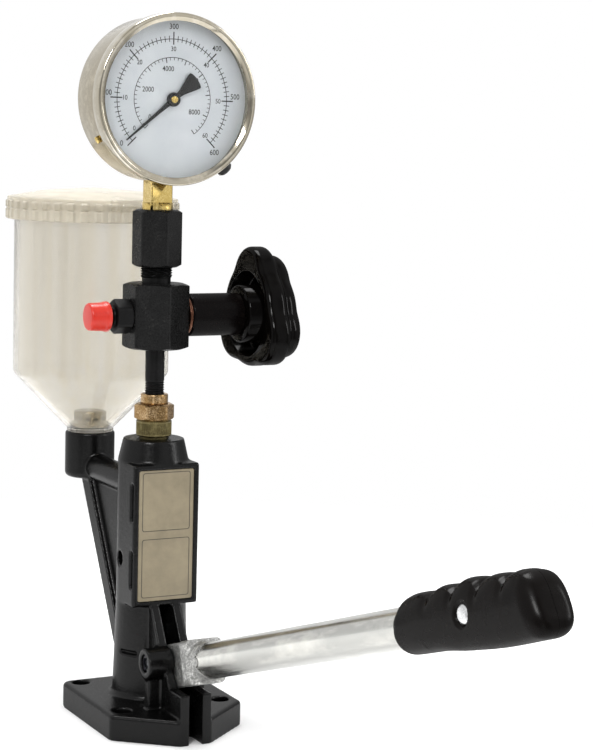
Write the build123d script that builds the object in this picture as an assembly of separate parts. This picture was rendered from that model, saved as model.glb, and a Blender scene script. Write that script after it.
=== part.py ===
from build123d import *
import os
from math import asin, cos, degrees, hypot, pi, radians, sin, tan

# Diesel injector tester, all lengths in millimetres.
# Origin: pump axis on the underside of the base. +Z up, the dial faces -Y,
# the shut off valve points to +X, the outlet to -X, the oil reservoir stands at +Y.

# Fits shared by all pieces
running_clearance = 0.05
seat_clearance = 0.05
loose_clearance = 0.3
overrun = 2.0

# Base plate
base_half_width = 43.5
base_back = 42.0
base_side_front = 42.0
nose_reach = 70.0
base_thickness = 15.5
base_corner_radius = 7.0
base_front_corner_radius = 4.0
base_edge_radius = 2.2
bolt_spacing_x = 65.0
bolt_spacing_y = 68.0
bolt_hole_radius = 5.5

# Column
column_height = 175.5
column_foot_radius = 23.4
column_shoulder_radius = 21.7
column_crown_radius = 18.7
crown_height = 13.0
foot_fillet = 3.0
access_hole_radius = 4.3
access_hole_height = 101.6
access_hole_depth = 6.0
side_groove_width = 2.2
side_groove_depth = 1.6
side_groove_height = 43.0
side_groove_angles = (-169.0, -134.0)

# Label housing on the front of the column
housing_front = 22.0
housing_bottom = 74.5
housing_crown_gap = 0.5
housing_edge_radius = 1.6
label_width = 36.5
label_margin = 3.25
label_thickness = 1.0
label_recess_depth = 2.0
label_recess_gap = 0.2
label_corner_radius = 1.5
vent_slot_width = 3.6
vent_slot_depth = 3.0
vent_slot_length_share = 0.257
vent_slot_pitch_share = 0.474

# Fork that holds the lever
fork_half_width = 10.0
fork_slot_gap = 0.25
fork_slot_floor = 12.0
fork_shelf_height = 31.0
fork_shelf_length = 17.5
cheek_bend_height = 50.1
pivot_setback = 32.0
pivot_height = 43.8
pivot_boss_radius = 9.4
pivot_boss_reach = 20.5
pivot_rib_thickness = 6.0
pin_radius = 5.0
pin_head_inset = 2.4
pin_chamfer = 0.8
circlip_thickness = 1.2
circlip_radial = 1.6
circlip_groove_depth = 1.0
circlip_mouth_angle = 50.0
circlip_ear_radius = 1.3
circlip_ear_share = 1.4

# Lever
lever_angle = 17.8
lever_drop = 3.5
tongue_thickness = 8.0
tongue_height = 26.8
tongue_rise = 0.3
tongue_nose_radius = 8.0
tongue_neck_gap = 3.0
tongue_neck_half = 4.4
lever_head_start = 32.0
lever_head_length = 13.5
lever_head_width = 24.6
lever_head_corner_radius = 4.0
lever_head_shoulder = 4.5
lever_head_front_edge = 1.6
tube_radius = 10.65
tube_wall = 2.6
tube_entry = 1.5
tube_length = 363.5
grip_overlap = 108.0
grip_length = 127.0
grip_width = 25.5
grip_mouth_wall = 1.4
grip_mouth_length = 8.0
grip_below = 16.2
grip_belly_place_share = 0.5
grip_valley_heights = (13.6, 15.4)
grip_bump_heights = (15.4, 17.0, 18.0, 17.5, 17.1)
grip_bump_pitch = 21.7
grip_first_bump = 27.0
grip_end_radius = 9.0
grip_oval_inset = 1.0
grip_screw_inset = 41.0
grip_screw_hole_radius = 6.4
grip_sink_radius = 8.0
grip_sink_depth = 1.0
grip_screw_head_radius = 6.0
grip_screw_head_height = 1.8
grip_screw_shank_radius = 2.5
grip_screw_length = 14.0

# Pump inside the column
bore_radius = 11.0
barrel_depth = 23.5
barrel_length = 34.0
barrel_radius = 9.0
barrel_neck_radius = 6.5
barrel_neck_length = 16.0
plunger_radius = 4.0
plunger_entry = 19.5
plunger_foot_radius = 6.0
plunger_foot_height = 3.0
tappet_length = 20.0
tappet_wall = 2.5
tappet_floor = 5.0
spring_radius = 7.6
spring_wire = 1.0
spring_turns = 7
wire_sides = 5
delivery_spring_radius = 3.3
delivery_spring_wire = 0.5
delivery_spring_turns = 6
guide_screw_radius = 1.6
guide_screw_height = 65.5
guide_screw_depth = 9.0
guide_screw_angle = -135.0

# Delivery valve and the fittings on top of the column
holder_thread_radius = 8.9
holder_neck_height = 1.4
holder_collar_radius = 10.9
holder_collar_height = 10.1
holder_bore_radius = 4.5
delivery_seat_height = 4.0
delivery_valve_radius = 4.0
delivery_valve_length = 10.0
union_across = 22.0
union_height = 10.0
union_turn = 15.0
lock_ring_radius = 8.45
lock_ring_height = 6.0
riser_radius = 5.9
riser_bore_radius = 2.0
riser_length = 28.0
riser_entry = 7.0

# Valve block
block_across = 36.0
block_height = 40.0
block_edge = 0.8
port_radius = 1.5

# Outlet and its cap
outlet_nut_across = 19.0
outlet_nut_length = 10.5
outlet_stub_radius = 7.0
outlet_stub_length = 14.0
outlet_entry_radius = 6.0
outlet_entry = 8.0
outlet_bore_radius = 2.0
outlet_cone_depth = 3.0
cap_wall = 1.3
cap_length = 13.0
cap_top_thickness = 2.0
cap_rim_radius = 9.2
cap_rim_length = 2.4

# Shut off valve
valve_seal_thickness = 2.2
valve_seal_radius = 12.4
bonnet_radius = 13.2
bonnet_length = 35.0
bonnet_entry_radius = 8.0
bonnet_entry = 9.0
bonnet_bore_radius = 5.0
spindle_radius = 4.0
spindle_tip_length = 5.0
spindle_seat_gap = 0.1
spindle_seal_thickness = 2.6
spindle_seal_place_share = 0.4

# Star knob
knob_back = 61.0
knob_thickness = 26.4
knob_skirt_length = 14.0
knob_lobe_reach = 42.0
knob_lobe_radius = 16.5
knob_waist_radius = 31.5
knob_blend_radius = 12.0
knob_crown_share = 0.87
knob_edge_radius = 3.0
knob_hollow_radius = 26.5
knob_hollow_depth = 13.0
knob_hub_radius = 18.0
knob_lobe_angles = (90.0, 210.0, 330.0)
knob_screw_radius = 2.0
knob_screw_length = 8.0

# Gauge adapter, coupling and stem
adapter_radius = 9.7
adapter_undercut_radius = 8.8
adapter_undercut_length = 3.4
adapter_gap = 10.0
adapter_entry_radius = 6.5
adapter_entry = 9.0
coupling_across = 27.0
coupling_height = 34.8
coupling_chamfer = 1.5
gauge_seal_thickness = 1.5
gauge_seal_radius = 7.5
stem_collar_radius = 9.4
stem_collar_height = 4.4
stem_square = 14.0
stem_thread_radius = 8.6

# Pressure gauge
gauge_centre_rise = 66.2
case_radius = 49.3
case_wall = 1.2
case_back = 10.0
case_back_radius = 3.0
case_front = 20.0
bezel_radius = 51.0
bezel_front = 28.6
bezel_back = 19.0
bezel_lip_radius = 45.0
bezel_lip_thickness = 1.6
window_thickness = 2.2
dial_plane = 19.1
dial_thickness = 1.0
dial_radius = 46.5
pointer_plane = 22.0
pointer_thickness = 0.7
pointer_reach = 38.5
pointer_tail = 17.5
pointer_root_width = 3.4
pointer_tip_width = 0.8
pointer_tail_width = 8.0
pointer_hub_radius = 4.2
pointer_hub_height = 1.6
pointer_zero_angle = 220.0
arbor_radius = 1.2
arbor_head_radius = 2.1
bourdon_radius = 34.0
bourdon_width = 9.0
bourdon_depth = 4.0
bourdon_sweep = 250.0
bourdon_side_share = 0.5
movement_plate_width = 26.0
movement_plate_height = 20.0
movement_plate_thickness = 1.4
movement_gap = 5.0
movement_bridge_width = 8.0
pinion_teeth = 14
gear_module = 0.4
tooth_shares = (-0.3, -0.12, 0.12, 0.3)
bezel_screw_count = 3
bezel_screw_radius = 2.2
bezel_screw_head_height = 1.8
bezel_screw_shank_radius = 1.1
bezel_screw_depth = 5.0
bezel_screw_plane = 9.0
bezel_screw_turn = 90.0
plug_angle = 317.0
plug_plane = 1.0
plug_radius = 5.0
plug_reach = 12.7
plug_neck_radius = 4.2
plug_neck_length = 3.0
plug_inner_length = 1.6

# Reservoir with its carrier on the casting
reservoir_reach = 105.0
arm_radius = 8.5
arm_drop = 32.8
arm_gap = 1.0
socket_radius = 16.3
socket_above_arm = 22.5
socket_below_arm = 7.9
socket_edge_radius = 3.0
socket_bore_depth = 20.0
strut_half_width = 6.0
strut_thickness = 11.0
strut_foot_back = 33.0
web_half_width = 2.6
cup_neck_radius = 13.2
cup_neck_flange_radius = 15.4
cup_neck_flange_height = 2.2
cup_radius = 51.0
cup_wall = 3.0
cup_cone_rise = 36.8
cup_straight_height = 111.5
cup_mouth_radius = 9.5
lid_radius = 55.6
lid_rib_height = 1.0
lid_rib_count = 40
lid_rib_width = 3.4
lid_skirt = 14.4
lid_top_thickness = 3.0
lid_dome_rise = 6.5
lid_dome_shares = (0.6, 0.64)
lid_groove_depth = 0.8
lid_groove_width = 1.2
strainer_radius = 12.5
strainer_height = 9.0
strainer_wall = 1.2
strainer_flange_radius = 17.0
strainer_flange_height = 1.4
strainer_hole_radius = 1.4
strainer_hole_count = 12
neck_seal_thickness = 2.0

# Heights and places that follow from the sizes above
barrel_top = column_height - barrel_depth
bore_top = barrel_top - barrel_length
arm_height = column_height - arm_drop
socket_top = arm_height + socket_above_arm
socket_bottom = arm_height - socket_below_arm
pivot_reach = nose_reach - pivot_setback
tube_start = lever_head_start + tube_entry
grip_start = tube_start + tube_length - grip_overlap
grip_screw_place = tube_start + tube_length - grip_screw_inset
union_bottom = column_height + holder_neck_height + holder_collar_height
union_top = union_bottom + union_height
riser_bottom = union_bottom - riser_entry
block_bottom = union_top + riser_length + lock_ring_height
block_top = block_bottom + block_height
valve_height = block_bottom + block_height / 2
coupling_bottom = block_top + adapter_gap
coupling_top = coupling_bottom + coupling_height
gauge_height = coupling_top + gauge_centre_rise
crown_bottom = column_height - crown_height
housing_top = crown_bottom - housing_crown_gap
housing_middle = (housing_bottom + housing_top) / 2
label_height = housing_top - housing_bottom - 2 * label_margin
vent_slot_length = (housing_top - housing_bottom) * vent_slot_length_share
vent_slot_pitch = (housing_top - housing_bottom) * vent_slot_pitch_share
pivot_place = (0, -pivot_reach, pivot_height)
fork_slot_half = tongue_thickness / 2 + fork_slot_gap
cup_bottom = socket_top + cup_neck_flange_height
cone_top = cup_bottom + cup_cone_rise
cup_top = cone_top + cup_straight_height
lid_bottom = cup_top + loose_clearance - lid_skirt + lid_top_thickness
lid_shoulder = lid_bottom + lid_skirt


def rest_of_lever_arm():
    # height of the top of the lever's rear nose over the base, when the grip is up
    return pivot_height - pivot_reach * sin(radians(lever_angle)) + tongue_nose_radius


tappet_bottom = rest_of_lever_arm() + loose_clearance
tappet_top = tappet_bottom + tappet_length
circlip_middle = pivot_boss_reach - pin_head_inset + circlip_thickness / 2 + seat_clearance


# Simple bodies that are placed by their ends
def post(radius, low, high, x=0, y=0):
    return Pos(x, y, low) * Cylinder(radius, high - low, align=(Align.CENTER, Align.CENTER, Align.MIN))


def rod_x(radius, left, right, y, z):
    rod = Cylinder(radius, right - left, align=(Align.CENTER, Align.CENTER, Align.MIN))
    return Pos(left, y, z) * Rot(0, 90, 0) * rod


def rod_y(radius, front, back, x, z):
    rod = Cylinder(radius, back - front, align=(Align.CENTER, Align.CENTER, Align.MIN))
    return Pos(x, front, z) * Rot(-90, 0, 0) * rod


def block(x_low, x_high, y_low, y_high, z_low, z_high):
    size = (x_high - x_low, y_high - y_low, z_high - z_low)
    return Pos(x_low, y_low, z_low) * Box(*size, align=(Align.MIN, Align.MIN, Align.MIN))


def turned(outline):
    # outline: radius and height of each corner, turned about the vertical axis
    edges = Polyline(*[(radius, 0, height) for radius, height in outline], close=True)
    return revolve(make_face(edges), Axis.Z)


def hex_bar(across, low, high, edge):
    # hexagon with two faces square to X, its ends turned down to a chamfer
    circle = across / 2 / cos(pi / 6)
    bar = Pos(0, 0, low) * extrude(RegularPolygon(circle, 6, rotation=30), high - low)
    ends = turned([(0, low), (circle - edge, low), (circle, low + edge * tan(pi / 6)),
                   (circle, high - edge * tan(pi / 6)), (circle - edge, high), (0, high)])
    return bar & ends


def side_profile(points, half_width):
    # points: Y and Z of each corner, extruded to both sides of the plane of the lever
    face = make_face(Polyline(*[(0, y, z) for y, z in points], close=True))
    return extrude(face, half_width, dir=(1, 0, 0), both=True)


# Casting: base, column, label housing, fork, arm, socket and strut in one piece
def base_plate():
    outline = Polyline((-base_half_width, base_back), (base_half_width, base_back),
                       (base_half_width, -base_side_front), (fork_half_width, -nose_reach),
                       (-fork_half_width, -nose_reach), (-base_half_width, -base_side_front), close=True)
    plate = extrude(make_face(outline), base_thickness)
    upright = plate.edges().filter_by(Axis.Z)
    back = upright.group_by(Axis.Y)[-1]
    plate = fillet(back, base_corner_radius)
    upright = plate.edges().filter_by(Axis.Z)
    side = [edge for edge in upright if abs(abs(edge.center().X) - base_half_width) < base_edge_radius
            and edge.center().Y < 0]
    plate = fillet(side, base_front_corner_radius)
    plate = fillet(plate.edges().group_by(Axis.Z)[-1], base_edge_radius)
    return plate


def column():
    # the round back tapers a little, as a casting that is drawn from its mould
    profile = [(0, 0), (column_foot_radius, 0), (column_foot_radius, base_thickness),
               (column_shoulder_radius, housing_bottom), (column_shoulder_radius, crown_bottom),
               (column_crown_radius, column_height), (0, column_height)]
    return turned(profile)


def label_housing():
    half = column_shoulder_radius
    box = block(-half, half, -housing_front, 0, housing_bottom, housing_top)
    front = box.faces().sort_by(Axis.Y)[0]
    box = fillet(front.edges(), housing_edge_radius)
    return box


def housing_cuts():
    # the recess for the label in front and two upright slots in each side
    half_label = label_width / 2 + label_recess_gap
    tall = label_height / 2 + label_recess_gap
    y_low = -housing_front + label_recess_depth
    cuts = block(-half_label, half_label, -housing_front - overrun, y_low,
                 housing_middle - tall, housing_middle + tall)
    for side in (-1, 1):
        low_x = side * column_shoulder_radius - vent_slot_depth
        for step in (-1, 1):
            low_z = housing_middle + (step * vent_slot_pitch - vent_slot_length) / 2
            cuts += block(low_x, low_x + 2 * vent_slot_depth, y_low, y_low + vent_slot_width,
                          low_z, low_z + vent_slot_length)
    return cuts


def fork():
    shelf_back = nose_reach - fork_shelf_length
    cheek = side_profile([(0, 0), (0, housing_bottom), (-column_foot_radius, housing_bottom),
                          (-pivot_reach, cheek_bend_height),
                          (-shelf_back, fork_shelf_height), (-nose_reach, fork_shelf_height),
                          (-nose_reach, 0)], fork_half_width)
    rib_half = pivot_rib_thickness / 2
    reach = pivot_boss_reach - rib_half / 2
    bosses = rod_x(pivot_boss_radius, -pivot_boss_reach, pivot_boss_reach, -pivot_reach, pivot_height)
    ribs = block(-reach, reach, -pivot_reach - rib_half, -pivot_reach + rib_half,
                 base_thickness / 2, pivot_height)
    return cheek + bosses + ribs


def reservoir_carrier():
    arm = rod_y(arm_radius, bore_radius + arm_gap, reservoir_reach, 0, arm_height)
    socket = post(socket_radius, socket_bottom, socket_top, 0, reservoir_reach)
    socket = fillet(socket.edges().sort_by(Axis.Z)[0], socket_edge_radius)
    socket = chamfer(socket.edges().sort_by(Axis.Z)[-1], socket_edge_radius / 3)
    slope = (socket_bottom - base_thickness) / (reservoir_reach - strut_foot_back)
    run = strut_thickness * hypot(1, slope) / slope
    top = socket_bottom + socket_edge_radius
    strut = side_profile([(strut_foot_back, base_thickness / 2), (strut_foot_back, base_thickness),
                          (reservoir_reach, socket_bottom), (reservoir_reach, top),
                          (reservoir_reach - run, top), (strut_foot_back - run, base_thickness),
                          (strut_foot_back - run, base_thickness / 2)], strut_half_width)
    web = side_profile([(0, base_thickness / 2), (strut_foot_back - run, base_thickness),
                        (reservoir_reach - run, socket_bottom), (reservoir_reach - run, arm_height),
                        (0, arm_height)], web_half_width)
    return arm + socket + strut + web


def side_groove():
    # a short level slot in the left side of the column
    ring = post(column_foot_radius + overrun, 0, side_groove_width)
    ring -= post(column_shoulder_radius - side_groove_depth, 0, side_groove_width)
    reach = 2 * column_foot_radius
    ends = [(reach * cos(radians(angle)), reach * sin(radians(angle))) for angle in side_groove_angles]
    sector = make_face(Polyline((0, 0), *ends, close=True))
    return Pos(0, 0, side_groove_height) * (ring & extrude(sector, side_groove_width))


def casting_cuts():
    cuts = post(bore_radius, rest_of_lever_arm() - overrun, bore_top)
    cuts += post(barrel_radius + seat_clearance, bore_top - overrun, barrel_top)
    cuts += post(holder_thread_radius + seat_clearance, barrel_top, column_height + overrun)
    nose_room = pivot_reach + tongue_nose_radius + overrun
    cuts += block(-fork_slot_half, fork_slot_half, -nose_reach - overrun, nose_room - pivot_reach,
                  fork_slot_floor, rest_of_lever_arm() + tongue_height)
    cuts += block(-fork_slot_half, fork_slot_half, -nose_reach - overrun, -bore_radius / 2,
                  fork_slot_floor, housing_bottom)
    # in the nose the slot goes right through the base
    cuts += block(-fork_slot_half, fork_slot_half, -nose_reach - overrun, fork_shelf_length - nose_reach,
                  -overrun, fork_slot_floor + overrun)
    cuts += rod_x(pin_radius + running_clearance, -pivot_boss_reach - overrun, pivot_boss_reach + overrun,
                  -pivot_reach, pivot_height)
    cuts += rod_x(access_hole_radius, -column_shoulder_radius - overrun,
                  access_hole_depth - column_shoulder_radius, 0, access_hole_height)
    cuts += post(cup_neck_radius + seat_clearance, socket_top - socket_bore_depth, socket_top + overrun,
                 0, reservoir_reach)
    for x in (-bolt_spacing_x / 2, bolt_spacing_x / 2):
        for y in (-bolt_spacing_y / 2, bolt_spacing_y / 2):
            cuts += post(bolt_hole_radius, -overrun, base_thickness + overrun, x, y)
    cuts += side_groove() + guide_screw_blank(guide_screw_radius + seat_clearance, overrun)
    groove_radius = pin_radius + circlip_groove_depth
    for side in (-1, 1):
        middle = side * circlip_middle
        groove_half = circlip_thickness / 2 + seat_clearance
        cuts += rod_x(groove_radius, middle - groove_half, middle + groove_half, -pivot_reach, pivot_height)
    return cuts + housing_cuts()


def body_casting():
    body = base_plate() + column() + fork()
    foot = [edge for edge in body.edges().filter_by(GeomType.CIRCLE)
            if abs(edge.radius - column_foot_radius) < running_clearance
            and abs(edge.center().Z - base_thickness) < running_clearance]
    body = fillet(foot, foot_fillet) if foot else body
    body += label_housing() + reservoir_carrier()
    return body - casting_cuts()


def label_plate():
    plane = Plane.XZ.offset(housing_front - label_recess_depth)
    plate = extrude(plane * RectangleRounded(label_width, label_height, label_corner_radius), label_thickness)
    return Pos(0, 0, housing_middle) * plate


# Pump: a plunger that the lever lifts through a tappet, and a spring that returns both
def guide_screw_blank(radius, extra):
    start = column_foot_radius - guide_screw_depth
    screw = post(radius, start, column_foot_radius + extra)
    return Pos(0, 0, guide_screw_height) * Rot(0, 90, guide_screw_angle) * screw


def tappet_guide_screw():
    face = column_foot_radius - (column_foot_radius - column_shoulder_radius) * (
        (guide_screw_height - base_thickness) / (housing_bottom - base_thickness))
    screw = post(guide_screw_radius, column_foot_radius - guide_screw_depth, face + guide_screw_radius / 4)
    return Pos(0, 0, guide_screw_height) * Rot(0, 90, guide_screw_angle) * screw


def plunger_tappet():
    radius = bore_radius - running_clearance
    inner = radius - tappet_wall
    cup = turned([(0, tappet_bottom), (radius, tappet_bottom), (radius, tappet_top), (inner, tappet_top),
                  (inner, tappet_bottom + tappet_floor), (0, tappet_bottom + tappet_floor)])
    # a slot on the guide screw's side keeps the tappet from turning
    slot_width = guide_screw_radius + running_clearance
    travel = tappet_length
    inner = column_foot_radius - guide_screw_depth - overrun
    slot = block(inner, column_foot_radius, -slot_width, slot_width,
                 guide_screw_height - travel, guide_screw_height + slot_width)
    return cup - Rot(0, 0, guide_screw_angle) * slot


def pump_plunger():
    foot = tappet_bottom + tappet_floor
    top = bore_top - barrel_neck_length + plunger_entry
    return turned([(0, foot), (plunger_foot_radius, foot), (plunger_foot_radius, foot + plunger_foot_height),
                   (plunger_radius, foot + plunger_foot_height), (plunger_radius, top), (0, top)])


def pump_barrel():
    bore = plunger_radius + running_clearance
    low = bore_top - barrel_neck_length
    return turned([(bore, low), (barrel_neck_radius, low), (barrel_neck_radius, bore_top),
                   (barrel_radius, bore_top), (barrel_radius, barrel_top), (bore, barrel_top)])


def coil(radius, wire, low, high, turns):
    # a coil spring between two flats, its wire swept along the helix
    rise = high - low - 2 * wire
    path = Helix(pitch=rise / turns, height=rise, radius=radius, center=(0, 0, low + wire))
    section = Plane(origin=path @ 0, z_dir=path % 0) * RegularPolygon(wire, wire_sides)
    return sweep(section, path=path, is_frenet=True)


def return_spring():
    low = tappet_bottom + tappet_floor + plunger_foot_height
    play = loose_clearance / 3
    return coil(spring_radius, spring_wire, low + play, bore_top - play, spring_turns)


def delivery_spring():
    low = delivery_valve_top() + loose_clearance / 3
    return coil(delivery_spring_radius, delivery_spring_wire, low, riser_bottom - loose_clearance / 3,
                delivery_spring_turns)


# Delivery valve and its holder, screwed into the top of the column
def delivery_valve_top():
    return barrel_top + delivery_seat_height / 4 + delivery_valve_length


def delivery_valve():
    low = barrel_top + delivery_seat_height / 4
    radius = holder_bore_radius - running_clearance
    high = delivery_valve_top()
    return turned([(0, low), (delivery_valve_radius / 2, low), (radius, low + delivery_valve_radius / 2),
                   (radius, high), (radius / 2, high), (radius / 2, high - radius), (0, high - radius)])


def delivery_valve_holder():
    low = barrel_top
    seat = low + delivery_seat_height / 4
    collar = column_height + holder_neck_height
    return turned([(delivery_valve_radius / 2 + running_clearance, low), (holder_thread_radius, low),
                   (holder_thread_radius, collar), (holder_collar_radius, collar),
                   (holder_collar_radius, union_bottom), (riser_radius + seat_clearance, union_bottom),
                   (riser_radius + seat_clearance, riser_bottom), (holder_bore_radius, riser_bottom),
                   (holder_bore_radius, seat + delivery_valve_radius / 2 - running_clearance),
                   (delivery_valve_radius / 2 + running_clearance, seat - 2 * running_clearance)])


def union_nut():
    nut = hex_bar(union_across, union_bottom, union_top, union_across / 2 * (1 / cos(pi / 6) - 1))
    nut = Rot(0, 0, union_turn) * nut
    return nut - post(riser_radius + seat_clearance, union_bottom - overrun, union_top + overrun)


def lock_ring():
    ring_top = union_top + lock_ring_height
    edge = lock_ring_height / 6
    inner = riser_radius + seat_clearance
    return turned([(inner, union_top), (lock_ring_radius, union_top), (lock_ring_radius, ring_top - edge),
                   (lock_ring_radius - edge, ring_top), (inner, ring_top)])


def riser_pipe():
    top = block_bottom + riser_entry
    return turned([(riser_bore_radius, riser_bottom), (riser_radius, riser_bottom), (riser_radius, top),
                   (riser_bore_radius, top)])


# Valve block, made from hexagonal bar, with four ports
def valve_block():
    body = hex_bar(block_across, block_bottom, block_top, block_edge)
    body -= post(riser_radius + seat_clearance, block_bottom - overrun, block_bottom + riser_entry)
    body -= post(adapter_entry_radius + seat_clearance, block_top - adapter_entry, block_top + overrun)
    body -= post(port_radius, block_bottom, block_top)
    half = block_across / 2
    body -= rod_x(outlet_entry_radius + seat_clearance, -half - overrun, outlet_entry - half, 0, valve_height)
    body -= rod_x(bonnet_entry_radius + seat_clearance, half - bonnet_entry, half + overrun, 0, valve_height)
    return body - rod_x(port_radius, -half, half, 0, valve_height)


def along_x(piece, start, side):
    # lays a piece that was turned about Z along +X or -X, from the given place
    return Pos(side * start, 0, valve_height) * Rot(0, side * 90, 0) * piece


def outlet_fitting():
    nut = hex_bar(outlet_nut_across, 0, outlet_nut_length, outlet_nut_across / 2 * (1 / cos(pi / 6) - 1))
    end = outlet_nut_length + outlet_stub_length
    stub = post(outlet_stub_radius, outlet_nut_length - overrun, end)
    stub = chamfer(stub.edges().sort_by(Axis.Z)[-1], outlet_cone_depth / 4)
    fitting = nut + stub + post(outlet_entry_radius, -outlet_entry, overrun)
    fitting -= post(outlet_bore_radius, -outlet_entry - overrun, end + overrun)
    fitting -= turned([(0, end - outlet_cone_depth), (outlet_bore_radius, end - outlet_cone_depth),
                       (outlet_bore_radius + outlet_cone_depth / 2, end), (0, end)])
    return along_x(fitting, block_across / 2, -1)


def outlet_cap():
    inner = outlet_stub_radius + loose_clearance
    outer = inner + cap_wall
    stub_end = outlet_nut_length + outlet_stub_length
    top = stub_end + loose_clearance + cap_top_thickness
    low = top - cap_length
    rim = low + cap_rim_length
    nose = outer - cap_wall
    cap = turned([(inner, low), (cap_rim_radius, low), (cap_rim_radius, rim), (outer, rim + cap_wall),
                  (nose, top - cap_wall / 2), (nose - cap_wall / 2, top), (0, top),
                  (0, top - cap_top_thickness), (inner, top - cap_top_thickness)])
    return along_x(cap, block_across / 2, -1)


# Shut off valve with its star knob
def valve_seal():
    inner = bonnet_entry_radius + seat_clearance
    edge = valve_seal_thickness / 3
    ring = turned([(inner, 0), (valve_seal_radius - edge, 0), (valve_seal_radius, edge),
                   (valve_seal_radius, valve_seal_thickness - edge),
                   (valve_seal_radius - edge, valve_seal_thickness), (inner, valve_seal_thickness)])
    return along_x(ring, block_across / 2, 1)


def valve_bonnet():
    start = valve_seal_thickness
    end = start + bonnet_length
    seal_low = start + bonnet_length * spindle_seal_place_share
    seal_room = bonnet_bore_radius + spindle_seal_thickness / 2
    edge = valve_seal_thickness / 2
    body = turned([(bonnet_bore_radius, -bonnet_entry + valve_seal_thickness),
                   (bonnet_entry_radius, -bonnet_entry + valve_seal_thickness), (bonnet_entry_radius, start),
                   (bonnet_radius - edge, start), (bonnet_radius, start + edge),
                   (bonnet_radius, end - edge), (bonnet_radius - edge, end),
                   (spindle_radius + running_clearance, end),
                   (spindle_radius + running_clearance, seal_low + 2 * spindle_seal_thickness),
                   (seal_room, seal_low + 2 * spindle_seal_thickness), (seal_room, seal_low),
                   (bonnet_bore_radius, seal_low)])
    return along_x(body, block_across / 2, 1)


def spindle_seal():
    low = valve_seal_thickness + bonnet_length * spindle_seal_place_share
    ring = turned([(spindle_radius + running_clearance, low),
                   (bonnet_bore_radius + spindle_seal_thickness / 2 - seat_clearance, low),
                   (bonnet_bore_radius + spindle_seal_thickness / 2 - seat_clearance,
                    low + 2 * spindle_seal_thickness - seat_clearance),
                   (spindle_radius + running_clearance, low + 2 * spindle_seal_thickness - seat_clearance)])
    return along_x(ring, block_across / 2, 1)


def knob_outline(scale_share):
    reach = (knob_lobe_reach - knob_lobe_radius) * scale_share
    outline = Circle(knob_waist_radius * scale_share)
    for turn in knob_lobe_angles:
        place = Pos(reach * cos(radians(turn)), reach * sin(radians(turn)))
        outline += place * Circle(knob_lobe_radius * scale_share)
    return fillet(outline.vertices(), knob_blend_radius * scale_share)


def valve_knob():
    # turned frame: Z runs away from the block along the spindle
    skirt = extrude(knob_outline(1), knob_skirt_length)
    rims = skirt.edges().group_by(Axis.Z)
    skirt = chamfer(rims[0] + rims[-1], knob_edge_radius / 2)
    crown = extrude(knob_outline(knob_crown_share), knob_thickness)
    crown = fillet(crown.edges().group_by(Axis.Z)[-1], knob_edge_radius)
    body = skirt + crown
    body -= post(knob_hollow_radius, -overrun, knob_hollow_depth)
    hub_low = block_across / 2 + valve_seal_thickness + bonnet_length + loose_clearance - knob_back
    body += post(knob_hub_radius, hub_low, knob_hollow_depth + overrun)
    body -= post(spindle_radius + seat_clearance, hub_low - overrun, knob_hollow_depth)
    body -= knob_screw_blank(knob_screw_radius + seat_clearance)
    # lobes point up and to both lower sides
    return Pos(knob_back, 0, valve_height) * Rot(0, 90, 0) * Rot(0, 0, 90) * body


def knob_screw_blank(radius):
    height = knob_hollow_depth - 2 * knob_screw_radius
    end = spindle_radius + knob_screw_length
    return Pos(0, 0, height) * Rot(0, 90, 0) * post(radius, spindle_radius, end)


def knob_grub_screw():
    screw = knob_screw_blank(knob_screw_radius)
    return Pos(knob_back, 0, valve_height) * Rot(0, 90, 0) * Rot(0, 0, 90) * screw


def valve_spindle():
    # needle point that closes the port in the block when it is screwed in, drawn closed
    tip_radius = port_radius / 2
    depth = (port_radius - tip_radius) / (spindle_radius - tip_radius) * spindle_tip_length
    tip = spindle_seat_gap - bonnet_entry - depth
    end = knob_back - block_across / 2 + knob_hollow_depth
    spindle = turned([(0, tip), (tip_radius, tip), (spindle_radius, tip + spindle_tip_length),
                      (spindle_radius, end), (0, end)])
    return along_x(spindle, block_across / 2, 1)


# Gauge adapter and the sleeve nut that joins it to the stem of the gauge
def adapter_top():
    return coupling_bottom + coupling_height / 2


def gauge_adapter():
    low = block_top - adapter_entry
    undercut = block_top + adapter_undercut_length
    top = adapter_top()
    edge = adapter_radius - adapter_undercut_radius
    return turned([(port_radius, low), (adapter_entry_radius, low),
                   (adapter_entry_radius, block_top), (adapter_undercut_radius, block_top),
                   (adapter_undercut_radius, undercut), (adapter_radius, undercut + edge),
                   (adapter_radius, top - edge), (adapter_radius - edge, top), (port_radius, top)])


def gauge_coupling():
    nut = hex_bar(coupling_across, coupling_bottom, coupling_top, coupling_chamfer)
    seal_top = adapter_top() + gauge_seal_thickness
    nut -= post(adapter_radius + seat_clearance, coupling_bottom - overrun, seal_top)
    return nut - post(stem_thread_radius + seat_clearance, adapter_top(), coupling_top + overrun)


def gauge_seal():
    low = adapter_top()
    high = low + gauge_seal_thickness
    return turned([(port_radius, low), (gauge_seal_radius, low),
                   (gauge_seal_radius, high), (port_radius, high)])


def gauge_stem():
    low = adapter_top() + gauge_seal_thickness
    collar = coupling_top + stem_collar_height
    case_low = gauge_height - case_radius
    inner = gauge_height - bourdon_radius - bourdon_depth / 2
    stem = post(stem_thread_radius, low, coupling_top)
    stem += post(stem_collar_radius, coupling_top, collar)
    square = block(-stem_square / 2, stem_square / 2, -stem_square / 2, stem_square / 2,
                   coupling_top, case_low + case_wall + overrun)
    stem += square & post(stem_collar_radius, coupling_top, case_low + case_wall + overrun)
    stem += block(-stem_square / 2, stem_square / 2, movement_back(), bourdon_width / 2,
                  case_low + 2 * case_wall, inner)
    return stem - post(port_radius, low - overrun, collar)


# Pressure gauge
def about_dial(piece):
    # a piece that was turned about Z is laid on the axis of the dial, its +Z to +Y
    return Pos(0, 0, gauge_height) * Rot(-90, 0, 0) * piece


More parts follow.
